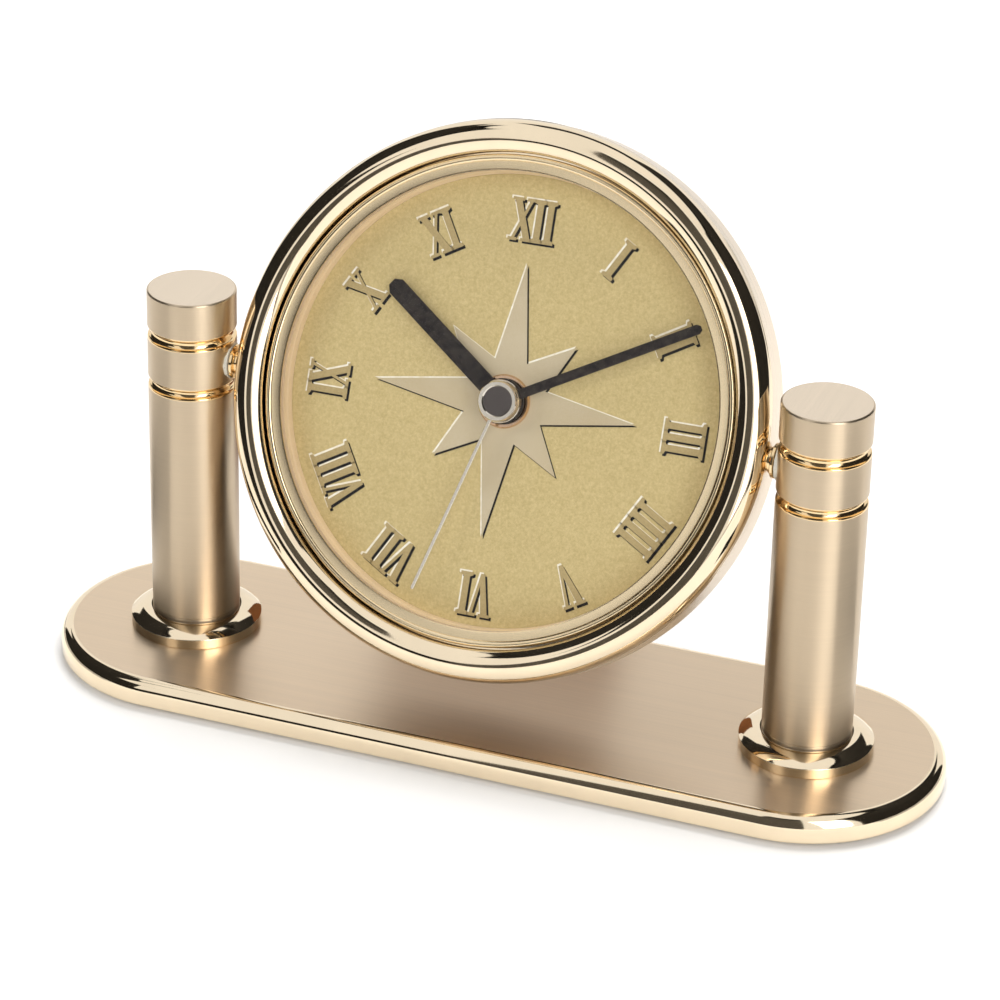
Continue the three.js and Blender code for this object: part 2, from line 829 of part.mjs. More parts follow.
function hourWheel() {
  const tooth = meshing(0, motionPinionTeeth, motionDirection + 180, hourTeeth);
  const wheel = gear(hourTeeth, hourModule, tooth, level(1));
  const tube = disc(hourTube, level(1)[0], hourHubTop, tubeSides);
  const bore = disc(hourTubeBore, level(1)[0] - overshoot, hourHubTop + overshoot, tubeSides);
  return cut(join(wheel, tube), bore);
}

// The set arbor passes the bridge and the housing, and carries the knob
const knobFront = housingRear - runGap;
const knobBack = knobFront - knobHeight;
const setArborRadius = setArborDiameter / 2;
const setArborEnd = knobBack + knobHeight / 3;

function setArbor() {
  const tooth = meshing(motionTooth, motionTeeth, motionDirection, setTeeth);
  const wheel = gear(setTeeth, motionModule, tooth, level(2));
  return join(wheel, disc(setArborRadius, setArborEnd, arborFront, pinSides));
}

function setKnob() {
  const radius = knobDiameter / 2;
  const shape = new THREE.Shape();
  for (let i = 0; i < 2 * knobFlutes; i += 1) {
    const r = i % 2 ? radius : radius - knobFluteDepth;
    const angle = (i * tau) / (2 * knobFlutes);
    shape[i ? "lineTo" : "moveTo"](r * Math.cos(angle), r * Math.sin(angle));
  }
  const bore = disc(setArborRadius + seatGap, setArborEnd - seatGap, knobFront + overshoot, pinSides);
  return cut(slab(shape, knobBack, knobFront), bore);
}

function addAt([x, y], name, geometry, finish) {
  add(clock, name, geometry, finish).position.set(x, y, 0);
}

addAt(centre, "hour_hand", hourHand(), blackenedBrass);
addAt(centre, "hour_wheel", hourWheel(), naturalPlastic);
addAt(centre, "minute_hand", minuteHand(), blackenedBrass);
addAt(centre, "cannon_pinion", cannonPinion(), polishedBrass);
addAt(centre, "second_hand", secondHand(), polishedBrass);
addAt(centre, "second_wheel", secondWheel(), naturalPlastic);
addAt(centre, "minute_wheel", minuteWheel(), naturalPlastic);
addAt(thirdAt, "third_wheel", thirdWheel(), naturalPlastic);
addAt(intermediateAt, "intermediate_wheel", intermediateWheel(), naturalPlastic);
addAt(rotorAt, "rotor_pinion", rotorPinion(), naturalPlastic);
addAt(rotorAt, "rotor_magnet", rotorMagnet(), steel);
addAt(motionAt, "motion_wheel", motionWheel(), naturalPlastic);
addAt(setAt, "set_arbor", setArbor(), naturalPlastic);
addAt(setAt, "set_knob", setKnob(), blackPlastic);

// Movement plate: carries the dial in front and the train, the motor and the board behind
const coilPads = [-1, 1].map((side) => [coilMiddleX + (side * coilPadSpacing) / 2, coilY]);
const rightBoss = from(centre, rightBossDistance, rightBossDirection);
const lowerBoss = from(centre, lowerBossDistance, lowerBossDirection);
const leftBoss = from(centre, leftBossDistance, leftBossDirection);
const bridgeBosses = [rightBoss, lowerBoss, leftBoss];
const boardCorner = [boardWidth / 2 - boardPinInset, boardHeight / 2 - boardPinInset];
const boardPins = [-1, 1].map((side) => [
  boardMiddleX - side * boardCorner[0],
  boardMiddleY + side * boardCorner[1],
]);
const statorTop = (magnetTop + magnetBottom + statorThickness) / 2;
const statorBottom = statorTop - statorThickness;
const coreTop = statorBottom - seatGap;
const coreBottom = coreTop - coreThickness;
const boardFront = plateBack - boardBossHeight - seatGap;
const boardBack = boardFront - boardThickness;
const coilScrewRadius = coilScrewDiameter / 2;
const coilScrewHole = coilScrewRadius + seatGap;
const bridgeScrewRadius = bridgeScrewDiameter / 2;
const bridgeScrewHole = bridgeScrewRadius + seatGap;
const pivotHole = arborRadius + runGap;
const setHole = setArborRadius + runGap;

function movementPlate() {
  const bossRadius = bossDiameter / 2;
  const foot = plateBack + weld;
  const bodies = [
    ring(bushTubeBore, insertRadius, plateBack, plateFront, discSides),
    ring(bushTubeBore, bushTube, plateBack, bushTop, tubeSides),
    disc(arborRadius, level(2)[0], foot, pinSides, ...motionAt),
    ...bridgeBosses.map((at) => disc(bossRadius, bridgeFront + seatGap, foot, pinSides, ...at)),
    ...coilPads.map((at) => disc(bossRadius, statorTop + seatGap, foot, pinSides, ...at)),
    ...boardPins.flatMap((at) => [
      disc(boardBossDiameter / 2, boardFront + seatGap, foot, pinSides, ...at),
      disc(boardPinDiameter / 2, boardBack - boardPinEnd, foot, pinSides, ...at),
    ]),
  ];
  const holeBack = plateBack - overshoot;
  const holeFront = plateBack + pivotHoleDepth;
  const screwEnd = bridgeFront + bridgeScrewDepth + seatGap;
  const coilScrewEnd = statorTop + coilScrewDepth + seatGap;
  const holes = [
    ...[thirdAt, intermediateAt, rotorAt].map((at) => disc(pivotHole, holeBack, holeFront, pinSides, ...at)),
    disc(setHole, holeBack, holeFront, pinSides, ...setAt),
    ...bridgeBosses.map((at) => disc(bridgeScrewHole, bridgeFront, screwEnd, pinSides, ...at)),
    ...coilPads.map((at) => disc(coilScrewHole, statorTop, coilScrewEnd, pinSides, ...at)),
  ];
  return cut(join(...bodies), ...holes);
}

// The bridge is a web of arms between the pivots and the bosses
function bridgeArm([x1, y1], [x2, y2]) {
  const arm = block(Math.hypot(x2 - x1, y2 - y1), armWidth, bridgeBack, bridgeFront);
  arm.rotateZ(Math.atan2(y2 - y1, x2 - x1));
  return arm.translate((x1 + x2) / 2, (y1 + y2) / 2, 0);
}

function trainBridge() {
  const pads = [centre, thirdAt, intermediateAt, rotorAt, setAt, ...bridgeBosses].map((at) => {
    return disc(armWidth / 2, bridgeBack, bridgeFront, tubeSides, ...at);
  });
  const arms = [
    bridgeArm(centre, thirdAt),
    bridgeArm(centre, lowerBoss),
    bridgeArm(centre, intermediateAt),
    bridgeArm(centre, setAt),
    bridgeArm(thirdAt, rightBoss),
    bridgeArm(rightBoss, intermediateAt),
    bridgeArm(intermediateAt, rotorAt),
    bridgeArm(rotorAt, leftBoss),
    bridgeArm(leftBoss, setAt),
    bridgeArm(setAt, lowerBoss),
  ];
  const back = bridgeBack - overshoot;
  const front = bridgeFront + overshoot;
  const holes = [
    ...[centre, thirdAt, intermediateAt, rotorAt].map((at) => disc(pivotHole, back, front, pinSides, ...at)),
    disc(setHole, back, front, pinSides, ...setAt),
    ...bridgeBosses.map((at) => disc(bridgeScrewHole, back, front, pinSides, ...at)),
  ];
  return cut(join(...pads, ...arms), ...holes);
}

// A small screw whose head rests behind the given height
function smallScrew(radius, headRadius, headHeight, seat, depth) {
  const profile = [
    [0, seat - headHeight],
    [headRadius, seat - headHeight],
    [headRadius, seat],
    [radius, seat],
    [radius, seat + depth],
    [0, seat + depth],
  ];
  return turned(profile, pinSides);
}

function stator() {
  const beamY = rotorAt[1] + statorBeamRise;
  const beamLength = coilPadSpacing + statorBarWidth;
  const legLength = coilY - beamY;
  const hole = magnetDiameter / 2 + runGap;
  const bodies = [
    disc(hole + statorRim, statorBottom, statorTop, tubeSides, ...rotorAt),
    block(beamLength, statorBarWidth, statorBottom, statorTop, coilMiddleX, beamY),
    ...coilPads.flatMap((at) => [
      block(statorBarWidth, legLength, statorBottom, statorTop, at[0], beamY + legLength / 2),
      disc(bossDiameter / 2, statorBottom, statorTop, pinSides, ...at),
    ]),
  ];
  const back = statorBottom - overshoot;
  const front = statorTop + overshoot;
  const cuts = [
    disc(hole, back, front, tubeSides, ...rotorAt),
    ...coilPads.map((at) => disc(coilScrewHole, back, front, pinSides, ...at)),
  ];
  return cut(join(...bodies), ...cuts);
}

function coilCore() {
  const bar = block(coilPadSpacing + coreWidth, coreWidth, coreBottom, coreTop, coilMiddleX, coilY);
  const back = coreBottom - overshoot;
  const front = coreTop + overshoot;
  return cut(bar, ...coilPads.map((at) => disc(coilScrewHole, back, front, pinSides, ...at)));
}

// Bobbin and winding lie along X round the core
function onCore(geometry) {
  return alongX(geometry, 1).translate(coilMiddleX, coilY, (coreTop + coreBottom) / 2);
}

function coilBobbin() {
  const half = coilLength / 2;
  const tube = coilTubeDiameter / 2;
  const flange = coilFlangeDiameter / 2;
  const profile = [
    [0, -half],
    [flange, -half],
    [flange, coilFlange - half],
    [tube, coilFlange - half],
    [tube, half - coilFlange],
    [flange, half - coilFlange],
    [flange, half],
    [0, half],
  ];
  const slotLength = coilLength + 2 * overshoot;
  const slot = block(slotLength, coreWidth + 2 * seatGap, coreBottom - seatGap, coreTop + seatGap);
  slot.translate(coilMiddleX, coilY, 0);
  return cut(onCore(turned(profile, tubeSides)), slot);
}

function coilWinding() {
  const half = coilLength / 2 - coilFlange - seatGap;
  return onCore(ring(coilTubeDiameter / 2 + seatGap, coilDiameter / 2, -half, half, tubeSides));
}

function circuitBoard() {
  const board = block(boardWidth, boardHeight, boardBack, boardFront, boardMiddleX, boardMiddleY);
  const hole = boardPinDiameter / 2 + seatGap;
  const back = boardBack - overshoot;
  const front = boardFront + overshoot;
  return cut(board, ...boardPins.map((at) => disc(hole, back, front, pinSides, ...at)));
}

function clockChip() {
  const back = boardBack - seatGap;
  const radius = chipDiameter / 2;
  const profile = [[0, back - chipHeight], [radius / 2, back - chipShoulder], [radius, back], [0, back]];
  const drop = turned(profile, pinSides);
  return drop.translate(boardMiddleX + boardWidth / 4, boardMiddleY + boardHeight / 6, 0);
}

function quartzCrystal() {
  const radius = crystalDiameter / 2;
  const can = alongX(disc(radius, -crystalLength / 2, crystalLength / 2, pinSides), 1);
  const height = boardBack - seatGap - radius;
  return can.translate(boardMiddleX - boardWidth / 6, boardMiddleY - boardHeight / 4, height);
}

// Housing: a cup behind the plate, with the battery bay across its lower part
const housingRadius = insertRadius - housingFlangeWidth;
const housingBore = housingRadius - housingWall;
const batteryRadius = batteryDiameter / 2;
const batteryMiddle = housingInside + runGap + batteryRadius;
const bayHalf = (batteryLength + batteryNipple) / 2 + contactThickness + 2 * seatGap;
const bayHeight = batteryDiameter + 2 * batterySideGap;
const bayDrop = Math.sqrt(housingBore ** 2 - (bayHalf + contactWallThickness) ** 2);
const batteryY = bayHeight / 2 + bayMargin - bayDrop;
const doorWidth = 2 * (bayHalf + doorOverlap);
const doorTop = batteryY + bayHeight / 2 + doorOverlap;
const recessFloorHeight = housingRear + doorThickness + runGap;

// The recess runs out through the lower edge; its sides are undercut, so the door can only slide down
function doorRecess(clearance) {
  const width = doorWidth + 2 * clearance;
  const top = doorTop + clearance;
  const depth = top + 2 * housingRadius;
  const lip = housingRear + doorLipThickness;
  const middle = top - depth / 2;
  const deep = recessFloorHeight - runGap + clearance;
  const wide = block(width + 2 * doorUndercut, depth, lip - clearance, deep, 0, middle);
  const narrow = block(width, depth, housingRear - 2 * clearance, lip, 0, middle);
  return join(wide, narrow);
}

function housing() {
  const profile = [
    [0, housingRear],
    [housingRadius - housingEdge, housingRear],
    [housingRadius, housingRear + housingEdge],
    [housingRadius, housingFront - housingFlange],
    [insertRadius, housingFront - housingFlange],
    [insertRadius, housingFront],
    [housingBore, housingFront],
    [housingBore, housingInside],
    [0, housingInside],
  ];
  const wallMiddle = bayHalf + contactWallThickness / 2;
  const walls = [-1, 1].map((side) => {
    return block(
      contactWallThickness,
      batteryDiameter,
      housingInside - weld,
      batteryMiddle + batteryRadius / 2,
      side * wallMiddle,
      batteryY,
    );
  });
  const inside = housingInside + overshoot;
  const bay = block(2 * bayHalf, bayHeight, housingRear, inside, 0, batteryY);
  const arborHole = disc(setHole, housingRear - overshoot, inside, pinSides, ...setAt);
  return cut(join(turned(profile, discSides), ...walls), bay, doorRecess(runGap), arborHole);
}

function batteryDoor() {
  const round = disc(housingRadius - housingEdge, housingRear - overshoot, housingInside, discSides);
  const panel = common(doorRecess(0), round);
  const middle = (doorTop - housingRadius) / 2;
  const ribs = Array.from({ length: doorRibs }, (_, i) => {
    const y = middle + (i - (doorRibs - 1) / 2) * doorRibSpacing;
    const back = housingRear - doorRibHeight;
    return block(doorWidth / 4, doorRibSpacing / 2, back, housingRear + weld, 0, y);
  });
  return join(panel, ...ribs);
}

function battery() {
  const half = (batteryLength + batteryNipple) / 2;
  const shoulder = half - batteryNipple;
  const nipple = batteryNippleDiameter / 2;
  const profile = [
    [0, -half],
    [batteryRadius, -half],
    [batteryRadius, shoulder],
    [nipple, shoulder],
    [nipple, half],
    [0, half],
  ];
  return alongX(turned(profile, tubeSides), 1).translate(0, batteryY, batteryMiddle);
}

function contact(side) {
  const x = side * (bayHalf - seatGap - contactThickness / 2);
  const bottom = housingInside + seatGap;
  return block(contactThickness, contactWidth, bottom, batteryMiddle + batteryRadius / 2, x, batteryY);
}

function snapRing() {
  const top = housingFront - housingFlange - seatGap;
  return ring(housingRadius + seatGap, insertRadius, top - snapRingThickness, top, discSides);
}

add(clock, "movement_plate", movementPlate(), naturalPlastic);
add(clock, "train_bridge", trainBridge(), naturalPlastic);
add(clock, "stator", stator(), steel);
add(clock, "coil_core", coilCore(), steel);
add(clock, "coil_bobbin", coilBobbin(), naturalPlastic);
add(clock, "coil_winding", coilWinding(), copper);
add(clock, "circuit_board", circuitBoard(), boardGreen);
add(clock, "clock_chip", clockChip(), blackPlastic);
add(clock, "quartz_crystal", quartzCrystal(), steel);
add(clock, "movement_housing", housing(), blackPlastic);
add(clock, "snap_ring", snapRing(), steel);
add(clock, "battery_door", batteryDoor(), blackPlastic);
add(clock, "battery", battery(), steel);
add(clock, "contact_plus", contact(1), steel);
add(clock, "contact_minus", contact(-1), steel);
bridgeBosses.forEach((at, i) => {
  const seat = bridgeBack - seatGap;
  const length = bridgeFront + bridgeScrewDepth - seat;
  const screw = smallScrew(bridgeScrewRadius, bridgeScrewHeadDiameter / 2, bridgeScrewHead, seat, length);
  addAt(at, "bridge_screw_" + (i + 1), screw, steel);
});
coilPads.forEach((at, i) => {
  const seat = coreBottom - seatGap;
  const length = statorTop + coilScrewDepth - seat;
  const screw = smallScrew(coilScrewRadius, coilScrewHeadDiameter / 2, coilScrewHead, seat, length);
  addAt(at, "coil_screw_" + (i + 1), screw, steel);
});

export default parts;
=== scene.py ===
import math

import bmesh
import bpy
from mathutils import Matrix, Vector


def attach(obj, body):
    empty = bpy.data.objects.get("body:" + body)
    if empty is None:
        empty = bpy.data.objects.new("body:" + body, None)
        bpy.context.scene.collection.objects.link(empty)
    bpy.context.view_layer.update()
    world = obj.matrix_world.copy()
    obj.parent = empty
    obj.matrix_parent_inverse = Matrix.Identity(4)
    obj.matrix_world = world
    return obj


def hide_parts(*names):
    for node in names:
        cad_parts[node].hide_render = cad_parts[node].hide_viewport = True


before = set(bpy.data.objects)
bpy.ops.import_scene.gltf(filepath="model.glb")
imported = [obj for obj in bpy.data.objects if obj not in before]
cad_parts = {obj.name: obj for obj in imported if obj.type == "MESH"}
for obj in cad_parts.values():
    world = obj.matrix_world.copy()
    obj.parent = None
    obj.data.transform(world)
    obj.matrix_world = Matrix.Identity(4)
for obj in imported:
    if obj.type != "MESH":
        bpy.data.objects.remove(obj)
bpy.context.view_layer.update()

# Base plate: a machined brass slab with half-round ends, champagne plated.
# Its top is brushed along its length, and its rounded edge is polished.
# Sizes are in millimetres, here as in all other pieces.
mm = 0.001
base_length = 165.6
base_width = 51.1
base_half = base_width / 2
base_straight = base_length - base_width
base_bottom = 1.0
base_side = 2.1
base_round = 2.6
base_inset = 2.3
base_underedge = 0.4
base_top = base_bottom + base_side + base_round


class Wire:
    """A socket of a material that takes part in Python sums."""

    def __init__(self, finish, socket):
        self.finish = finish
        self.socket = socket

    def sum(self, operation, first, second):
        return self.finish.node("Math", {"operation": operation}, {0: first, 1: second})

    def __add__(self, other):
        return self.sum("ADD", self, other)

    __radd__ = __add__

    def __rsub__(self, other):
        return self.sum("SUBTRACT", other, self)

    def __mul__(self, other):
        return self.sum("MULTIPLY", self, other)

    __rmul__ = __mul__


class Finish:
    """A material under construction, with one Principled shader."""

    def __init__(self, name):
        self.material = bpy.data.materials.new(name)
        self.material.use_nodes = True
        self.tree = self.material.node_tree
        self.shader = self.tree.nodes["Principled BSDF"]

    def node(self, kind, settings, sockets, output=0):
        """A node of any kind: its settings first, then the values or wires of its sockets."""
        made = self.tree.nodes.new("ShaderNode" + kind)
        for key, value in settings.items():
            setattr(made, key, value)
        for key, value in sockets.items():
            if isinstance(value, Wire):
                self.tree.links.new(value.socket, made.inputs[key])
            else:
                made.inputs[key].default_value = value
        return Wire(self, made.outputs[output])

    def place(self, stretch=(1, 1, 1), tilt=0.0):
        """Object coordinates, turned by a tilt round X and stretched."""
        here = self.node("TexCoord", {}, {}, "Object")
        leant = self.node("Mapping", {}, {"Vector": here, "Rotation": (tilt, 0, 0)})
        return self.node("Mapping", {}, {"Vector": leant, "Scale": stretch})

    def noise(self, vector, scale, detail=3.0, roughness=0.6):
        sockets = {"Vector": vector, "Scale": scale, "Detail": detail, "Roughness": roughness}
        return self.node("TexNoise", {}, sockets)

    def spread(self, value, low=0.3, high=0.7):
        """A value between two limits, stretched over 0 to 1."""
        return self.node("MapRange", {}, {"Value": value, "From Min": low, "From Max": high})

    def grain(self, scale, detail=3.0, roughness=0.6, low=0.3, high=0.7):
        """Noise of the same size in every direction, stretched over 0 to 1."""
        return self.spread(self.noise(self.place(), scale, detail, roughness), low, high)

    def blend(self, amount, first, second):
        return self.node("Mix", {"data_type": "RGBA"}, {0: amount, 6: first, 7: second}, 2)

    def bump(self, height, strength, distance):
        sockets = {"Height": height, "Strength": strength, "Distance": distance * mm}
        return self.node("Bump", {}, sockets)

    def set(self, **values):
        """Values or wires for the shader's own sockets."""
        for key, value in values.items():
            socket = self.shader.inputs[key.replace("_", " ")]
            if isinstance(value, Wire):
                self.tree.links.new(value.socket, socket)
            else:
                socket.default_value = value
        return self


def colour(red, green, blue, share=1.0):
    """A colour as seen on a screen, 0 to 255, turned into light and kept to a share of it."""
    parts = [c / 255 for c in (red, green, blue)]
    light = [c / 12.92 if c < 0.04045 else ((c + 0.055) / 1.055) ** 2.4 for c in parts]
    return tuple(c * share for c in light) + (1,)


def brushed(name, stretch, tilt=0.0, shade=(236, 219, 196), coarse=0.3, contrast=0.1):
    """Fine parallel brush lines: the stretch is high across them and low along them."""
    finish = Finish(name)
    vector = finish.place(stretch, tilt)
    fine = finish.spread(finish.noise(vector, 1.6, 4.0, 0.7))
    broad = finish.spread(finish.noise(vector, 0.2, 2.0, 0.5))
    lines = fine * 0.65 + broad * 0.35
    dark = colour(*shade, 1 - contrast)
    finish.set(Base_Color=finish.blend(lines, dark, colour(*shade)), Metallic=1.0)
    finish.set(Roughness=coarse - 0.02 + lines * 0.04)
    return finish.set(Normal=finish.bump(fine, 0.1, 0.004))


def polished(name, shade=(244, 226, 196), gloss=0.05):
    """Plated metal polished on a wheel: faint swirls and a little haze."""
    finish = Finish(name)
    haze = finish.grain(120.0)
    swirl = finish.grain(900.0, 2.0, low=0.35, high=0.65)
    finish.set(Base_Color=finish.blend(haze, colour(*shade, 0.93), colour(*shade)), Metallic=1.0)
    finish.set(Roughness=gloss + haze * 0.02 + swirl * 0.01)
    return finish.set(Normal=finish.bump(swirl, 0.03, 0.004))


def curve(middle, height, wide, tall, start, stop, steps=10):
    """Points of an elliptical arc in a profile of (radius, height)."""
    angles = [math.radians(start + (stop - start) * i / steps) for i in range(steps + 1)]
    return [(middle + wide * math.cos(a), height + tall * math.sin(a)) for a in angles]


def shown(name, data):
    """Makes an object and puts it in the scene."""
    made = bpy.data.objects.new(name, data)
    bpy.context.scene.collection.objects.link(made)
    return made


def finished(name, mesh, body, finishes, replaced=(), crease=30):
    """Turns a mesh in millimetres into a shaded piece of the object."""
    bmesh.ops.recalc_face_normals(mesh, faces=mesh.faces)
    bmesh.ops.scale(mesh, vec=(mm, mm, mm), verts=mesh.verts)
    data = bpy.data.meshes.new(name)
    mesh.to_mesh(data)
    mesh.free()
    data.polygons.foreach_set("use_smooth", [True] * len(data.polygons))
    data.set_sharp_from_angle(angle=math.radians(crease))
    piece = shown(name, data)
    for finish in finishes:
        data.materials.append(finish.material)
    weighted = piece.modifiers.new("even shading", "WEIGHTED_NORMAL")
    weighted.keep_sharp = True
    weighted.weight = 100
    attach(piece, body)
    if replaced:
        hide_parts(*replaced)
    return piece


def ring_of(mesh, points, place):
    """Corners at points in millimetres, moved to the piece's place."""
    return [mesh.verts.new(place @ Vector(point)) for point in points]


def skin(mesh, low, high, index=0):
    """Faces between two rings of corners."""
    for i in range(len(low)):
        j = (i + 1) % len(low)
        mesh.faces.new((low[i], low[j], high[j], high[i])).material_index = index


def turned(profile, sides, straight=0.0, place=Matrix(), coat=lambda step: 0, top=0, loop=False):
    """Carries a profile of (radius, height) round Z, or round a bar with half-round ends.

    coat gives the finish of each step of the profile, and top that of the last face.
    """
    mesh = bmesh.new()
    angles = [math.tau * (i + 0.5) / sides for i in range(sides)]
    rings = []
    for radius, height in profile:
        points = [
            (radius * math.cos(a) + math.copysign(straight / 2, math.cos(a)), radius * math.sin(a),
             height)
            for a in angles
        ]
        rings.append(ring_of(mesh, points, place))
    if loop:
        rings.append(rings[0])
    for step, (low, high) in enumerate(zip(rings, rings[1:])):
        skin(mesh, low, high, coat(step))
    if not loop:
        mesh.faces.new(reversed(rings[0]))
        mesh.faces.new(rings[-1]).material_index = top
    return mesh


plate_brushed = brushed("plate_brushed", (25, 2600, 2600), shade=(240, 217, 188), coarse=0.34)
plate_brushed.set(Anisotropic=0.8, Metallic=0.93)
edge_polished = polished("edge_polished")
plate_profile = [
    (base_half - base_underedge, base_bottom),
    (base_half - base_underedge / 4, base_bottom + base_underedge / 4),
    (base_half, base_bottom + base_underedge),
    (base_half, base_bottom + base_side),
    *curve(base_half - base_inset, base_bottom + base_side, base_inset, base_round, 0, 90, 14)[1:],
]
plate_mesh = turned(plate_profile, 192, base_straight, top=1)
plate = finished("plate", plate_mesh, "base", [edge_polished, plate_brushed], ["base_plate"])
# The gloss of brushed metal runs round the middle of this space, so a middle
# that is 20 m away keeps it straight across the plate.
plate.data.use_auto_texspace = False
plate.data.texspace_location = (20, 0, 0)
plate.data.texspace_size = (1, 1, 1)

# Felt under the base: black wool felt, die cut and glued on.
# It is set in from the edge, so the clock seems to float a little.
felt_inset = 3.0
felt_edge = 0.1
felt_radius = base_half - felt_inset
felt_profile = [
    (felt_radius - felt_edge, 0.0),
    (felt_radius, 2 * felt_edge),
    (felt_radius, base_bottom - 2 * felt_edge),
    (felt_radius - felt_edge, base_bottom),
]
black_felt = Finish("black_felt")
fibre = black_felt.noise(black_felt.place(), 2200.0, 4.0, 0.8)
tuft = black_felt.noise(black_felt.place(), 300.0)
pile = black_felt.spread(fibre * 0.7 + tuft * 0.3, 0.35, 0.65)
black_felt.set(
    Base_Color=black_felt.blend(pile, colour(42, 41, 42, 0.4), colour(42, 41, 42)),
    Roughness=0.95,
    Sheen_Weight=0.4,
    Normal=black_felt.bump(pile, 0.8, 0.15),
)
felt_mesh = turned(felt_profile, 128, base_straight)
felt = finished("felt", felt_mesh, "base", [black_felt], ["base_felt"])

# Posts: brass bar turned on a lathe, with a polished groove above and below
# the band that holds the pivot, and a shallow neck over the foot ring.
# Each is brushed round and round, and is screwed down from below.
post_spacing = 116.295
post_radius = 7.9375
pivot_rise = 53.7
pivot_height = base_top + pivot_rise
band_half = 3.85
band_low = pivot_rise - band_half
band_high = pivot_rise + band_half
lower_groove = 1.7
upper_groove = 1.9
groove_zone = 2.0
cap_height = 6.9
cap_edge = 0.35
post_top = band_high + upper_groove + cap_height
neck_bottom = 3.15
neck_height = 0.85
neck_depth = 0.15
neck_lead = 0.1

post_brushed = brushed("post_brushed", (25, 25, 3000), shade=(214, 195, 168), coarse=0.36,
                       contrast=0.06)
post_brushed.set(Anisotropic=0.8, Anisotropic_Rotation=0.25)
face_brushed = brushed("face_brushed", (2400, 25, 25), coarse=0.25)
groove_polished = polished("groove_polished", (244, 214, 166), 0.1)


def groove(bottom, height):
    """A concave groove with a small round edge on both sides."""
    lead, shoulder, shoulder_width = 0.25, 0.06, 0.05
    overhang, depth, trim = 0.05, 0.95, 8
    top = bottom + height
    return [
        (post_radius, bottom - lead),
        (post_radius - shoulder, bottom - shoulder_width),
        *curve(post_radius + overhang, bottom + height / 2, depth, height / 2,
               270 - trim, 90 + trim, 14),
        (post_radius - shoulder, top + shoulder_width),
        (post_radius, top + lead),
    ]


neck_top = neck_bottom + neck_height
post_profile = [
    (post_radius, 0.0),
    (post_radius, neck_bottom - neck_lead),
    (post_radius - neck_depth, neck_bottom),
    (post_radius - neck_depth, neck_top - neck_depth),
    (post_radius - 2 * neck_depth, neck_top),
    (post_radius, neck_top + neck_depth),
    *groove(band_low - lower_groove, lower_groove),
    *groove(band_high, upper_groove),
    *curve(post_radius - cap_edge, post_top - cap_edge, cap_edge, cap_edge, 0, 90, 5),
]


def post_coat(step):
    """The grooves are polished and the rest of the post's side is brushed."""
    (low, bottom), (high, _) = post_profile[step:step + 2]
    in_zone = band_low - groove_zone < bottom < band_high + groove_zone
    return 1 if in_zone and min(low, high) < post_radius else 0


stands = [
    (name, Matrix.Translation((side * post_spacing / 2, 0, base_top)))
    for side, name in ((-1, "left"), (1, "right"))
]
for name, stand_at in stands:
    post_mesh = turned(post_profile, 128, place=stand_at, coat=post_coat, top=2)
    post = finished(name + "_column", post_mesh, "base",
                    [post_brushed, groove_polished, face_brushed], [name + "_post"])

# Foot rings: loose polished brass collars with a domed top, turned on a lathe.
# They drop over the posts and hide the joint between post and plate.
foot_radius = 11.85
foot_bore = post_radius + 0.25
foot_side = 1.9
foot_top = 3.3
foot_underedge = 0.1
foot_round = 0.16
foot_round_rise = 0.14
dome_width = foot_radius - foot_bore
dome_steps = 16
# The dome's two outermost steps are left to the round edge
dome = [
    (foot_bore + dome_width * t, foot_top - (foot_top - foot_side) * t ** 2)
    for t in (i / dome_steps for i in range(dome_steps - 2, -1, -1))
]
foot_profile = [
    (foot_bore, 0.0),
    (foot_radius - foot_underedge, 0.0),
    (foot_radius, foot_underedge),
    *curve(foot_radius - foot_round, foot_side - foot_round / 2, foot_round, foot_round_rise,
           0, 55, 5),
    *dome,
]
for name, stand_at in stands:
    collar_mesh = turned(foot_profile, 128, place=stand_at, loop=True)
    collar = finished(name + "_collar", collar_mesh, "base", [edge_polished],
                      [name + "_foot_ring"])

# Case ring: the drum of the head, turned from thick brass tube. Its side is brushed
# round and round, and the round bead at its front is polished.
# It hangs between the posts, leaning back.
dial_tilt = math.radians(24.7)
dial_rise = 1.48
dial_back = 1.7
dial_at = (
    Matrix.Translation((0, 0, pivot_height))
    @ Matrix.Rotation(math.pi / 2 - dial_tilt, 4, "X")
    @ Matrix.Translation((0, dial_rise, -dial_back))
)
to_dial = dial_tilt - math.pi / 2
drum_radius = 48.65
drum_rear = -3.9
drum_shoulder = 3.6
drum_edge = 0.5
drum_edge_middle = 0.15
bead_foot = 3.9
bead_step = 0.12
bead_top = 7.4
bead_middle = 45.2
bead_inner = 42.75
bore = 41.6
seat = 3.0
# The bead's inner slope: distances inwards from its top, and the slope there in degrees
bead_slopes = [(0.25, 9), (0.5, 16), (0.75, 21.5), (1.0, 26), (1.3, 31), (1.6, 35.5), (1.9, 40),
               (2.1, 43), (2.25, 55), (2.35, 70), (2.45, 80)]
bead_inside = [(bead_middle, bead_top)]
slope_before = 0
for inward, slope in bead_slopes:
    radius, height = bead_inside[-1]
    run = inward - bead_middle + radius
    height -= run * math.tan(math.radians((slope_before + slope) / 2))
    bead_inside.append((bead_middle - inward, height))
    slope_before = slope
case_profile = [
    (bore, drum_rear),
    (drum_radius - drum_edge, drum_rear),
    (drum_radius - drum_edge_middle, drum_rear + drum_edge_middle),
    (drum_radius, drum_rear + drum_edge),
    (drum_radius, drum_shoulder),
    *curve(bead_middle, bead_foot, drum_radius - bead_step - bead_middle, bead_top - bead_foot,
           0, 90, 20),
    *bead_inside[1:],
    (bead_inner, seat),
    (bore, seat),
]


def case_coat(step):
    """The side of the drum is brushed, from its rear edge to its shoulder."""
    return 0 if step in (2, 3) else 1


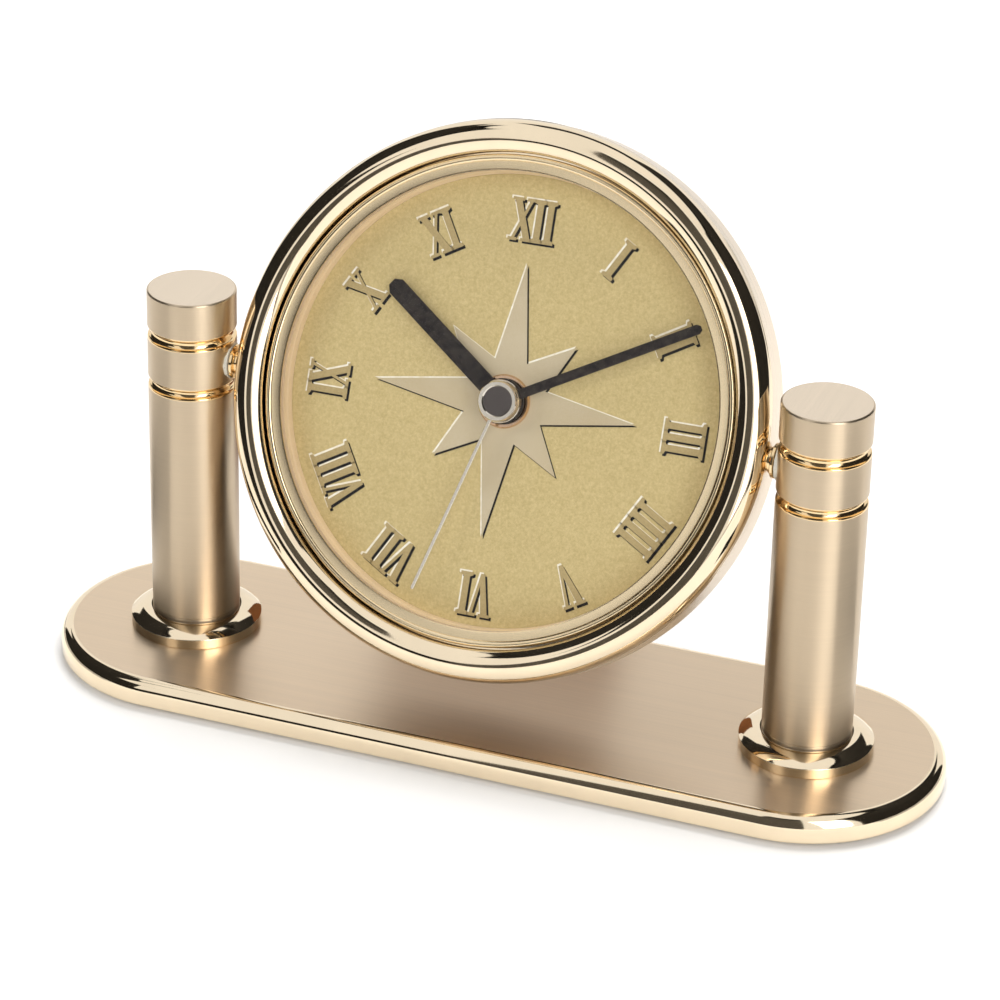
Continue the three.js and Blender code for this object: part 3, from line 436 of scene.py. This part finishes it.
drum_brushed = brushed("drum_brushed", (25, 25, 3000), to_dial, coarse=0.28)
case_mesh = turned(case_profile, 288, place=dial_at, coat=case_coat, loop=True)
case = finished("case", case_mesh, "head", [drum_brushed, edge_polished], ["case_ring"])

# Pivot pins: polished brass studs screwed into the drum. A small disc keeps
# the head clear of the post, and the rest turns in a nylon bush.
stud_radius = 2.0
stud_depth = 4.0
stud_reach = 7.6
stud_tip = 0.1
shank_radius = 2.3
shank_start = drum_radius + 0.2
disc_radius = 3.05
disc_edge = 0.15
disc_ease = 0.12
disc_lead = 0.05
disc_start = drum_radius + 0.7
disc_end = drum_radius + 1.36
pin_profile = [
    (stud_radius, drum_radius - stud_depth),
    (stud_radius, shank_start),
    (shank_radius, shank_start),
    (shank_radius, disc_start - disc_lead),
    (disc_radius - disc_edge, disc_start),
    (disc_radius, disc_start + disc_ease),
    (disc_radius, disc_end - disc_ease),
    (disc_radius - disc_edge, disc_end),
    (stud_radius, disc_end),
    (stud_radius, disc_end + stud_reach),
    (stud_radius - 3 * stud_tip, disc_end + stud_reach + stud_tip),
]
for side, name in ((-1, "left"), (1, "right")):
    sideways = Matrix.Rotation(side * math.pi / 2, 4, "Y")
    pin_at = Matrix.Translation((0, 0, pivot_height)) @ sideways
    pin_mesh = turned(pin_profile, 64, place=pin_at)
    pin = finished(name + "_spindle", pin_mesh, "head", [groove_polished],
                   [name + "_pivot_pin"])

# Bezel of the clock insert: a thin pressed brass ring, polished, with a half-round
# rim and a slope down to the glass. Its skirt goes through the drum.
flange_radius = 42.45
flange_back = 3.8
rim_half = 0.6
rim_middle = flange_radius - rim_half
rim_foot = 4.9
rim_rise = 0.45
lip_radius = 39.7
lip_front = 4.85
lip_back = 4.65
lip_edge = 0.3
lip_edge_rise = 0.1
skirt_inner = 40.6
skirt_outer = 41.3
skirt_end = -4.9
bezel_profile = [
    (skirt_inner, skirt_end),
    (skirt_outer, skirt_end),
    (skirt_outer, flange_back),
    (flange_radius, flange_back),
    *curve(rim_middle, rim_foot, rim_half, rim_rise, 0, 165, 14),
    (lip_radius + lip_edge, lip_front + lip_edge_rise),
    (lip_radius, lip_front),
    (lip_radius, lip_back),
    (skirt_inner, lip_back),
]
bezel_satin = polished("bezel_satin", (246, 224, 184), 0.2)
bezel_mesh = turned(bezel_profile, 288, place=dial_at, loop=True)
bezel = finished("bezel", bezel_mesh, "head", [bezel_satin], ["bezel_ring"], crease=40)

# Glass: a clear disc of window glass, pressed to a slight dome.
# It is held under the bezel's lip by the ring behind it.
glass_radius = 40.3
glass_front = 4.55
glass_thick = 1.2
glass_rise = 1.7
glass_steps = 24
glass_middle = 0.02
sphere = (glass_radius ** 2 + glass_rise ** 2) / (2 * glass_rise)


def glass_height(radius):
    """How far the dome stands over the glass's edge."""
    return glass_rise - sphere + math.sqrt(sphere ** 2 - radius ** 2)


inwards = [glass_radius * (1 - i / glass_steps) for i in range(glass_steps)] + [glass_middle]
glass_profile = [(r, glass_front - glass_thick + glass_height(r)) for r in reversed(inwards)]
glass_profile += [(r, glass_front + glass_height(r)) for r in inwards]
clear = Finish("clear_glass")
smear = clear.grain(40.0, low=0.4)
clear.set(
    Base_Color=(0.02, 0.02, 0.02, 1),
    Roughness=0.02 + smear * 0.03,
    Alpha=0.02 + smear * 0.01,
)
crystal_mesh = turned(glass_profile, 192, place=dial_at)
crystal = finished("crystal", crystal_mesh, "head", [clear], ["glass"])

# Ring between glass and dial: a spun reflector of sheet metal in pale satin gold
# with a step half way down. It keeps the two apart and is held between them.
sight = 39.3
reflector_foot = 0.1
reflector_top = 3.2
step_outer = lip_radius - 0.08
step_inner = sight + 0.18
step_front = 2.1
step_back = 1.6
step_edge = 0.15
reflector_profile = [
    (sight, reflector_foot),
    (glass_radius, reflector_foot),
    (glass_radius, reflector_top),
    (lip_radius, reflector_top),
    (lip_radius, reflector_top - 0.1),
    (step_outer, step_front),
    (step_outer - 0.04, step_front - step_edge),
    (step_inner, step_back + step_edge),
    (step_inner - 0.06, step_back),
]
satin = polished("satin_ring", (240, 215, 180), 0.3)
satin.set(Metallic=0.15)
reflector_mesh = turned(reflector_profile, 240, place=dial_at, loop=True)
reflector = finished("reflector", reflector_mesh, "head", [satin], ["rehaut_ring"], crease=25)

# Dial: an aluminium disc with a fine matte gold grain, clamped by the nut. The numerals
# are stamped up, with a painted highlight on their upper edges and a painted shadow below.
hub_hole = 3.3
dial_thick = 0.5
dial_gold = Finish("dial_gold")
sand = dial_gold.noise(dial_gold.place(), 2600.0, 3.0, 0.7)
cloud = dial_gold.noise(dial_gold.place(), 1300.0, 2.0)
speckle = dial_gold.spread(sand * 0.5 + cloud * 0.5)
dial_gold.set(
    Base_Color=dial_gold.blend(speckle, colour(195, 175, 122), colour(219, 200, 147)),
    Metallic=0.15,
    Roughness=0.62 - speckle * 0.08,
    Normal=dial_gold.bump(speckle, 0.2, 0.02),
)
dial_profile = [
    (hub_hole, -dial_thick),
    (glass_radius, -dial_thick),
    (glass_radius, 0.0),
    (hub_hole, 0.0),
]
dial_mesh = turned(dial_profile, 192, place=dial_at, loop=True)
dial_face = finished("dial_face", dial_mesh, "head", [dial_gold], ["dial"])

numeral_radius = 32.7
numeral_height = 7.5
print_shift = (0.1, -1.2)
print_turn = 0.7
top = numeral_height / 2
serif = 0.55
level = top - serif
fillet = level - 0.25


def crossing(first, second):
    """Where two lines meet, each given by two points."""
    (x1, y1), (x2, y2) = first
    (x3, y3), (x4, y4) = second
    cross = (x1 - x2) * (y3 - y4) - (y1 - y2) * (x3 - x4)
    a = x1 * y2 - y1 * x2
    b = x3 * y4 - y3 * x4
    return ((a * (x3 - x4) - (x1 - x2) * b) / cross, (a * (y3 - y4) - (y1 - y2) * b) / cross)


# The letters' outlines round their middles, and the width that each takes in a numeral
letter_i = [
    (-1.14, -top), (1.14, -top), (1.14, -level), (0.58, -fillet), (0.58, fillet), (1.14, level),
    (1.14, top), (-1.14, top), (-1.14, level), (-0.58, fillet), (-0.58, -fillet), (-1.14, -level),
]
letter_v = [
    (-0.35, -top), (0.35, -top), (1.55, level), (2.0, level), (2.0, top), (0.45, top),
    (0.45, level), (1.0, level), (0.22, 2.1 - top), (-0.55, level), (-0.15, level), (-0.15, top),
    (-2.2, top), (-2.2, level), (-1.75, level),
]
thick_left = ((-1.75, level), (0.5, -level))
thick_right = ((-0.5, level), (1.75, -level))
thin_left = ((0.95, level), (-1.6, -level))
thin_right = ((1.5, level), (-1.05, -level))
letter_x = [
    (-2.2, -top), (-0.6, -top), (-0.6, -level), thin_right[1], crossing(thick_left, thin_right),
    thick_left[1], (0.1, -level), (0.1, -top), (2.2, -top), (2.2, -level), thick_right[1],
    crossing(thick_right, thin_right), thin_right[0], (2.0, level), (2.0, top), (0.45, top),
    (0.45, level), thin_left[0], crossing(thick_right, thin_left), thick_right[0], (-0.1, level),
    (-0.1, top), (-2.2, top), (-2.2, level), thick_left[0], crossing(thick_left, thin_left),
    thin_left[1], (-2.2, -level),
]
letters = {"I": (letter_i, 1.95), "V": (letter_v, 3.8), "X": (letter_x, 3.9)}
hours = ["XII", "I", "II", "III", "IIII", "V", "VI", "VII", "VIII", "IX", "X", "XI"]


def raised(mesh, outline, bottom, top, index, place):
    """A flat-topped shape that stands out of a face."""
    low = ring_of(mesh, [(x, y, bottom) for x, y in outline], place)
    high = ring_of(mesh, [(x, y, top) for x, y in outline], place)
    mesh.faces.new(high).material_index = index
    mesh.faces.new(reversed(low)).material_index = index
    skin(mesh, low, high, index)


def embossed(mesh, outline, place, painted_shadow_edge, painted_highlight_edge):
    """A raised shape with a painted shadow below and a painted highlight above, moved sideways."""
    sunk, relief = -0.01, 0.12
    for index, lower, shift in ((2, 0.03, painted_shadow_edge), (1, 0.06, painted_highlight_edge), (0, 0.0, (0, 0))):
        moved = Matrix.Translation(dial_at.to_3x3() @ Vector((*shift, 0))) @ place
        raised(mesh, outline, sunk, relief - lower, index, moved)


figure_gold = Finish("figure_gold")
dust = figure_gold.grain(2600.0)
figure_gold.set(
    Base_Color=figure_gold.blend(dust, colour(178, 158, 112), colour(192, 172, 126)),
    Metallic=0.15,
    Roughness=0.6,
)
# Painted highlight: near-white copies along the upper edges of numerals and star
painted_highlight_coat = Finish("painted_highlight_edge")
highlight_grain = painted_highlight_coat.grain(900.0)
painted_highlight_coat.set(
    Base_Color=painted_highlight_coat.blend(highlight_grain, colour(236, 226, 200), colour(255, 252, 240)),
    Roughness=0.4,
)
# Painted shadow: near-black copies along the lower edges of numerals and star
painted_shadow_coat = Finish("painted_shadow_edge")
shadow_grain = painted_shadow_coat.grain(900.0)
painted_shadow_coat.set(
    Base_Color=painted_shadow_coat.blend(shadow_grain, colour(8, 8, 10), colour(30, 28, 28)),
    Roughness=0.5,
)
# Numerals, each over a painted shadow copy and a painted highlight copy of itself
figures_mesh = bmesh.new()
for number, numeral in enumerate(hours):
    turn = Matrix.Rotation(math.radians(print_turn - 30 * number), 4, "Z")
    outwards = Matrix.Translation((0, numeral_radius, 0))
    figure_at = dial_at @ Matrix.Translation((*print_shift, 0)) @ turn @ outwards
    x = -sum(letters[letter][1] for letter in numeral) / 2
    for letter in numeral:
        outline, width = letters[letter]
        placed = [(x + width / 2 + right, up) for right, up in outline]
        embossed(figures_mesh, placed, figure_at, painted_shadow_edge=(0.4, -0.33),
                 painted_highlight_edge=(-0.3, 0.25))
        x += width
figures = finished("figures", figures_mesh, "head", [figure_gold, painted_highlight_coat, painted_shadow_coat])

# Ornament in the middle of the dial: a plain eight-pointed star, stamped up
# with the numerals and burnished paler than the ground.
star_long = 24.0
star_short = 16.0
star_waist = 7.6
burnished = Finish("burnished")
on_dial = burnished.place(tilt=to_dial)
glow = burnished.spread(burnished.noise(on_dial, 60.0, 2.0), 0.35, 0.65)
fleck = burnished.spread(burnished.noise(on_dial, 2600.0))
burnished.set(
    Base_Color=burnished.blend(glow * 0.7 + fleck * 0.3, colour(198, 181, 146),
                               colour(211, 197, 168)),
    Metallic=0.15,
    Roughness=0.5,
)
star = []
for i in range(16):
    reach = star_waist if i % 2 else (star_long if i % 4 == 0 else star_short)
    a = math.tau * i / 16
    star.append((reach * math.sin(a), reach * math.cos(a)))
ornament_mesh = bmesh.new()
# The star, like the numerals, sits over a painted shadow and a painted highlight
embossed(ornament_mesh, star, dial_at, painted_shadow_edge=(0.3, -0.25), painted_highlight_edge=(-0.26, 0.22))
ornament = finished("ornament", ornament_mesh, "head", [burnished, painted_highlight_coat, painted_shadow_coat])

# Nut: a round brass nut on the tube of the movement clamps the dial.
# It is turned from bar, and its upper edge is broken.
nut_radius = 4.7
nut_foot = 0.1
nut_top = 0.9
nut_edge = 0.25
nut_edge_height = 0.35
nut_profile = [
    (hub_hole, nut_foot),
    (nut_radius, nut_foot),
    (nut_radius, nut_top - nut_edge_height),
    (nut_radius - nut_edge, nut_top),
    (hub_hole, nut_top),
]
nut_brass = polished("nut_brass", (222, 190, 160), 0.16)
nut_mesh = turned(nut_profile, 64, place=dial_at, loop=True)
nut = finished("dial_nut", nut_mesh, "head", [nut_brass], ["centre_nut"])

# Hands: stamped brass, pressed on their tubes by round hubs. The hour and minute
# hands are satin black, the second hand is a bare wire-thin needle with a cap.
blackened = Finish("blackened")
lint = blackened.grain(700.0, 4.0, 0.7, 0.35)
blackened.set(
    Base_Color=blackened.blend(lint, colour(30, 27, 28), colour(66, 60, 56)),
    Roughness=0.42 + lint * 0.15,
    Metallic=0.2,
    Normal=blackened.bump(lint, 0.15, 0.01),
)
silvered = polished("silvered", (226, 218, 204), 0.15)
cap_dark = brushed("cap_dark", (900, 60, 60), to_dial, (128, 121, 118), 0.45)


def baton(mesh, start, length, width, tip, bottom, top, degrees, ease=0.1):
    """A straight hand with a cut tip and eased upper edges."""
    half = width / 2
    tip_half = half * 0.45
    outline = [(-half, start), (half, start), (half, length - tip), (tip_half, length),
               (-tip_half, length), (-half, length - tip)]
    inner = [(x * (1 - ease / half), y - ease if y > start else y) for x, y in outline]
    at = dial_at @ Matrix.Rotation(-math.radians(degrees), 4, "Z")
    rings = [
        ring_of(mesh, [(x, y, height) for x, y in ring], at)
        for ring, height in ((outline, bottom), (outline, top - ease), (inner, top))
    ]
    for low, high in zip(rings, rings[1:]):
        skin(mesh, low, high)
    mesh.faces.new(rings[-1])
    mesh.faces.new(reversed(rings[0]))


# The hubs and the cap are profiles of (radius, height)
hour_hub = [(2.4, 1.25), (4.0, 1.25), (4.0, 1.75), (3.9, 1.85), (2.4, 1.85)]
hour_mesh = turned(hour_hub, 64, place=dial_at, loop=True)
baton(hour_mesh, start=3.0, length=29.0, width=3.3, tip=1.1, bottom=1.35, top=1.65, degrees=306)
hour_hand = finished("hour_baton", hour_mesh, "hour", [blackened], ["hour_hand"])

minute_hub = [(1.5, 2.1), (3.7, 2.1), (3.8, 2.2), (3.8, 2.9), (3.7, 3.0), (1.5, 3.0)]
minute_mesh = turned(minute_hub, 64, place=dial_at, coat=lambda step: 1, loop=True)
baton(minute_mesh, start=2.6, length=37.9, width=1.7, tip=0.6, bottom=2.2, top=2.5, degrees=61)
minute_hand = finished("minute_baton", minute_mesh, "minute", [blackened, silvered],
                       ["minute_hand"])

second_cap = [(3.3, 3.3), (3.55, 3.45), (3.55, 4.15), (3.35, 4.4), (2.75, 4.4), (2.55, 4.2)]
second_mesh = turned(second_cap, 96, place=dial_at, top=1)
baton(second_mesh, start=2.8, length=36.2, width=0.6, tip=0.3, bottom=3.4, top=3.6, degrees=196,
      ease=0.08)
needle = finished("needle", second_mesh, "second", [silvered, cap_dark], ["second_hand"])


# Works: hidden by the dial and the housing. Wheels, plates, bobbin and arbor are
# moulded, screws, contacts and stator are steel, the winding is enamelled copper.
# They are pressed, screwed or clipped on the movement's plate.
def moulded(name, shade, gloss=0.5, grit=1500.0):
    """Plastic or rubber from a mould, with a fine even grain."""
    finish = Finish(name)
    texture = finish.grain(grit)
    finish.set(Base_Color=finish.blend(texture, colour(*shade, 0.85), colour(*shade)))
    finish.set(Roughness=gloss + texture * 0.08)
    return finish.set(Normal=finish.bump(texture, 0.25, 0.02))


def plain_metal(name, shade, gloss=0.3):
    """Bare metal with faint marks of handling."""
    finish = Finish(name)
    mark = finish.grain(600.0, 4.0)
    finish.set(Base_Color=finish.blend(mark, colour(*shade, 0.8), colour(*shade)), Metallic=1.0)
    return finish.set(Roughness=gloss + mark * 0.1)


def dress(finish, *nodes):
    """Gives their finish to CAD nodes that keep their own shape."""
    for node in nodes:
        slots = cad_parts[node].data.materials
        slots.clear()
        slots.append(finish.material)


nylon = moulded("nylon", (226, 222, 208))
bright_steel = plain_metal("bright_steel", (190, 192, 196))
dress(nylon, "left_friction_bush", "right_friction_bush", "hour_wheel", "second_wheel",
      "minute_wheel", "third_wheel", "intermediate_wheel", "rotor_pinion", "motion_wheel",
      "set_arbor", "movement_plate", "train_bridge", "coil_bobbin")
dress(bright_steel, "left_post_screw", "right_post_screw", "bridge_screw_1", "bridge_screw_2",
      "bridge_screw_3", "coil_screw_1", "coil_screw_2", "stator", "coil_core",
      "quartz_crystal", "contact_plus", "contact_minus")
dress(plain_metal("ferrite", (92, 90, 90), 0.5), "rotor_magnet")
dress(polished("pinion_brass", (226, 192, 130), 0.2), "cannon_pinion")
dress(moulded("soft_rubber", (34, 34, 34), 0.8), "insert_gasket")
dress(moulded("green_mask", (44, 92, 52), 0.35), "circuit_board")
dress(moulded("resin", (26, 26, 28), 0.3), "clock_chip")
dress(plain_metal("cell_jacket", (196, 196, 198), 0.25), "battery")
copper = Finish("copper_wire")
turns = copper.node("TexWave", {"bands_direction": "X"},
                    {"Vector": copper.place(), "Scale": 1600.0})
copper.set(
    Base_Color=copper.blend(turns, colour(120, 58, 30), colour(206, 124, 78)),
    Metallic=1.0,
    Roughness=0.3,
    Normal=copper.bump(turns, 0.5, 0.05),
)
dress(copper, "coil_winding")

# Housing: a moulded cup in fine black grain that closes the back, with a round wall
# and an eased rim, held by a steel spring ring that snaps round it.
# The rim is open where the battery door slides out.
wall_radius = 39.52
wall_inner = 38.9
wall_front = -4.8
slot_floor = -14.95
slot_angle = 42.3
back_face = -16.4
rim_inner = 38.0
rim_edge = 0.83
rim_edge_height = 0.78
rim_steps = 160
black_grain = moulded("black_grain", (40, 40, 42), 0.55, 2200.0)
dress(black_grain, "movement_housing")
wall_profile = [
    (wall_inner, slot_floor),
    (wall_radius, slot_floor),
    (wall_radius, wall_front),
    (wall_inner, wall_front),
]
rim_profile = [
    (wall_inner, slot_floor),
    (wall_radius, slot_floor),
    (wall_radius, back_face + rim_edge_height),
    (wall_radius - rim_edge, back_face - 0.004),
    (rim_inner, back_face + 0.015),
]
cup_mesh = turned(wall_profile, 192, place=dial_at, loop=True)
rim_rings = []
for i in range(rim_steps + 1):
    a = math.radians(slot_angle - 90 + (360 - 2 * slot_angle) * i / rim_steps)
    points = [(r * math.cos(a), r * math.sin(a), height) for r, height in rim_profile]
    rim_rings.append(ring_of(cup_mesh, points, dial_at))
for here, there in zip(rim_rings, rim_rings[1:]):
    skin(cup_mesh, here, there)
cup_mesh.faces.new(rim_rings[0])
cup_mesh.faces.new(reversed(rim_rings[-1]))
cup_wall = finished("cup_wall", cup_mesh, "head", [black_grain])

spring_inner = 39.7
spring_outer = 40.3
spring_back = -4.6
spring_front = -3.7
spring_edge = 0.1
spring_profile = [
    (spring_inner, spring_back),
    (spring_outer - spring_edge / 2, spring_back),
    (spring_outer, spring_back + spring_edge),
    (spring_outer, spring_front),
    (spring_inner, spring_front),
]
spring_steel = plain_metal("spring_steel", (176, 176, 180), 0.28)
spring_mesh = turned(spring_profile, 192, place=dial_at, loop=True)
spring = finished("spring_ring", spring_mesh, "head", [spring_steel], ["snap_ring"])

# Battery door: a moulded panel whose thin edges run in the housing's undercut,
# with five ribs for the thumb. It slides down and out.
door_reach = 38.7
door_top = -15.026
door_half = 24.35
tongue_half = 25.15
door_skin = back_face + 0.5
door_inside = back_face + 1.1
arc_steps = 48
rib_half = 6.1
rib_thick = 0.4
rib_middle = -27.26
rib_pitch = 1.6
rib_crest = back_face - 0.5
rib_foot = back_face + 0.1
rib_count = 5
rib_taper = (0.99, 0.55)
door_mesh = bmesh.new()
for half, outside, inside in ((door_half, back_face, door_skin),
                              (tongue_half, door_skin, door_inside)):
    limit = math.degrees(math.asin(half / door_reach))
    arc = [math.radians(-90 - limit + 2 * limit * i / arc_steps) for i in range(arc_steps + 1)]
    outline = [(door_reach * math.cos(a), door_reach * math.sin(a)) for a in arc]
    outline += [(half, door_top), (-half, door_top)]
    raised(door_mesh, outline, outside, inside, 0, dial_at)
for i in range(rib_count):
    middle = rib_middle + (i - rib_count // 2) * rib_pitch
    base = [(-rib_half, -rib_thick), (rib_half, -rib_thick), (rib_half, rib_thick),
            (-rib_half, rib_thick)]
    foot = ring_of(door_mesh, [(x, middle + y, rib_foot) for x, y in base], dial_at)
    crest = ring_of(
        door_mesh,
        [(x * rib_taper[0], middle + y * rib_taper[1], rib_crest) for x, y in base],
        dial_at,
    )
    skin(door_mesh, foot, crest)
    door_mesh.faces.new(crest)
    door_mesh.faces.new(reversed(foot))
door = finished("battery_panel", door_mesh, "door", [black_grain], ["battery_door"])

# Set knob: black moulded wheel with round flutes for the finger and a dished back,
# pushed on its arbor.
knob_right = -16.61
knob_up = -6.05
knob_flutes = 12
knob_sides = 192
# Steps of its side: radius, depth of the flutes, height
knob_profile = [
    (6.0, 0.2, -16.7), (6.25, 0.25, -16.9), (6.25, 0.25, -19.5), (5.95, 0.2, -19.85),
    (5.5, 0.05, -19.9), (3.4, 0.0, -19.9), (3.0, 0.0, -19.6), (2.2, 0.0, -19.5),
]
knob_at = dial_at @ Matrix.Translation((knob_right, knob_up, 0))
knob_mesh = bmesh.new()
knob_rings = []
for reach, flute, height in knob_profile:
    points = []
    for i in range(knob_sides):
        a = math.tau * i / knob_sides
        r = reach + flute * math.cos(knob_flutes * a)
        points.append((r * math.cos(a), r * math.sin(a), height))
    knob_rings.append(ring_of(knob_mesh, points, knob_at))
for low, high in zip(knob_rings, knob_rings[1:]):
    skin(knob_mesh, low, high)
knob_mesh.faces.new(reversed(knob_rings[0]))
knob_mesh.faces.new(knob_rings[-1])
knob_black = moulded("knob_black", (34, 34, 36), 0.45, 2600.0)
knob = finished("finger_wheel", knob_mesh, "setting", [knob_black], ["set_knob"])


# Studio: white paper below, a large soft light above and two beside the camera, and
# a window to the right that the metal mirrors. Cards and cloths draw the dark lines
# in the polished metal. The studio's sizes are in metres.
def grey(level):
    return (level, level, level, 1)


paper_reach = 4.0
paper = Finish("paper")
paper.set(Base_Color=grey(0.9), Roughness=0.9, Specular_IOR_Level=0.0)
# Paper far from the clock is plain white to the camera, and near it glows a little
scattered = paper.node("LightPath", {}, {}, "Is Diffuse Ray")
seen = paper.node("LightPath", {}, {}, "Is Camera Ray")
from_middle = paper.node("VectorMath", {"operation": "LENGTH"}, {"Vector": paper.place()}, "Value")
beyond = seen * paper.spread(from_middle, 0.45, 1.3)
near_glow = paper.blend(scattered, grey(0.06), grey(0))
paper.set(Emission_Color=paper.blend(beyond, near_glow, grey(0.95)), Emission_Strength=1.0)


def sheet(name, finish, corners, faces):
    """Something flat that stands or lies round the object."""
    mesh = bpy.data.meshes.new(name)
    mesh.from_pydata(corners, [], faces)
    mesh.materials.append(finish.material)
    laid = shown(name, mesh)
    return laid


floor_corners = [(-paper_reach, -paper_reach, 0), (paper_reach, -paper_reach, 0),
                 (paper_reach, paper_reach, 0), (-paper_reach, paper_reach, 0)]
sheet("floor", paper, floor_corners, [(0, 1, 2, 3)])


def card_stock(name, scale, dark, light):
    """Matt card with a faint weave."""
    stock = Finish(name)
    weave = stock.noise(stock.place(), scale)
    return stock.set(Base_Color=stock.blend(weave, (*dark, 1), (*light, 1)), Roughness=1.0,
                     Specular_IOR_Level=0.0)


def card(name, finish, low, high, start, stop, near=0.6, far=0.6, shift=0.0):
    """A curved card round the stage, standing or lying, seen only by reflections."""
    steps = 64
    angles = [math.radians(start + (stop - start) * i / steps) for i in range(steps + 1)]
    corners = [
        (reach * math.sin(a) + shift, -reach * math.cos(a), height)
        for a in angles
        for reach, height in ((near, low), (far, high))
    ]
    faces = [(2 * i, 2 * i + 2, 2 * i + 3, 2 * i + 1) for i in range(steps)]
    screen = sheet(name, finish, corners, faces)
    screen.visible_camera = False
    screen.visible_diffuse = False
    screen.visible_shadow = False
    screen.visible_transmission = False


card_black = card_stock("card_black", 200.0, (0.01, 0.01, 0.01), (0.03, 0.028, 0.026))
card_grey = card_stock("card_grey", 30.0, (0.07, 0.066, 0.06), (0.11, 0.105, 0.1))
# This brown stands in for the warm reflection and shade of the head: painted reflection and shade
painted_reflection_brown = card_stock("painted_reflection_brown", 60.0, (0.26, 0.11, 0.05), (0.32, 0.14, 0.065))
# Each stands between two heights and two angles, which go round from the front
card("left_back", card_black, 0.28, 0.9, -130, -118)
card("left_card", card_black, 0.0, 1.2, -118, -60)
card("left_step", card_black, 0.0, 0.5, -60, -34)
card("front_card", card_grey, 0.0, 1.6, -17, 26)
card("right_card", card_black, 0.0, 1.2, 66, 150)
card("right_back", card_black, 0.3, 1.2, 150, 172)
card("low_bar", card_black, 0.0, 0.15, -34, -17)
card("back_header", card_black, 0.72, 1.15, 172, 215)
# A small brown flag close behind the clock darkens the plate's middle: a painted
# reflection and shade of the head. A cloth lies beside each end of the clock.
cloth_height = 0.0005
card("painted_reflection_flag", painted_reflection_brown, 0.0, 0.06, 162, 198, near=0.08, far=0.08, shift=-0.025)
card("left_cloth", card_black, cloth_height, cloth_height, -115, -40, near=0.052, far=0.095,
     shift=-0.057)
card("right_cloth", card_black, cloth_height, cloth_height, 66, 130, near=0.052, far=0.095,
     shift=0.057)


class Sky(Finish):
    """The world's own shader, a plain background."""

    def __init__(self, world):
        world.use_nodes = True
        self.tree = world.node_tree
        self.shader = self.tree.nodes["Background"]


studio = bpy.data.worlds.new("studio")
bpy.context.scene.world = studio
sky = Sky(studio)
# White to the camera, to mirrors and through glass, and a dim light on all the rest
white_to = [sky.node("LightPath", {}, {}, ray)
            for ray in ("Is Camera Ray", "Is Glossy Ray", "Is Transmission Ray")]
sky.set(
    Color=grey(1),
    Strength=sky.node("MapRange", {}, {"Value": white_to[0] + white_to[1] + white_to[2],
                                       "To Min": 0.15, "To Max": 1.0}),
)


def softbox(name, place, aim, width, height, watts, mirrored=False):
    """A rectangular lamp aimed at a point, which metal mirrors only where asked."""
    lamp = bpy.data.lights.new(name, "AREA")
    lamp.shape = "RECTANGLE"
    lamp.size = width
    lamp.size_y = height
    lamp.energy = watts
    lamp.color = (1.0, 0.985, 0.96)
    box = shown(name, lamp)
    box.visible_glossy = mirrored
    box.location = place
    box.rotation_euler = (Vector(aim) - Vector(place)).to_track_quat("-Z", "Y").to_euler()


head_middle = (0, 0, 0.05)
softbox("overhead", (0.0, 0.4, 1.0), (0, 0, 0), width=0.8, height=0.8, watts=12.5)
softbox("front_left", (-0.9, -0.7, 0.75), head_middle, width=0.5, height=0.7, watts=4.6)
softbox("fill", (0.3, -1.1, 0.7), head_middle, width=0.5, height=0.5, watts=4.2)
softbox("window", (0.58, -0.52, 0.45), head_middle, width=0.34, height=0.85, watts=2.8,
        mirrored=True)

# Camera: where the photographer stood, a little above the clock
# and to its right-hand end, with a long lens. Its place is in millimetres.
azimuth = math.radians(19.952)
elevation = math.radians(27.458)
roll = math.radians(1.38)
distance = 691.87
aim = Vector((0.37, 0.0, 41.92))
back = Vector((math.sin(azimuth) * math.cos(elevation), -math.cos(azimuth) * math.cos(elevation),
               math.sin(elevation)))
right = Vector((math.cos(azimuth), math.sin(azimuth), 0))
up = back.cross(right)
across = math.cos(roll) * right + math.sin(roll) * up
rise = math.cos(roll) * up - math.sin(roll) * right
camera = shown("camera", bpy.data.cameras.new("camera"))
camera.data.lens = 142.7
camera.data.sensor_width = 36.0
camera.data.clip_start = 0.01
camera.data.clip_end = 20.0
turned_to_clock = Matrix((across, rise, back)).transposed().to_4x4()
camera.matrix_world = Matrix.Translation((aim + back * distance) * mm) @ turned_to_clock
bpy.context.scene.camera = camera
bpy.context.scene.view_settings.view_transform = "Standard"
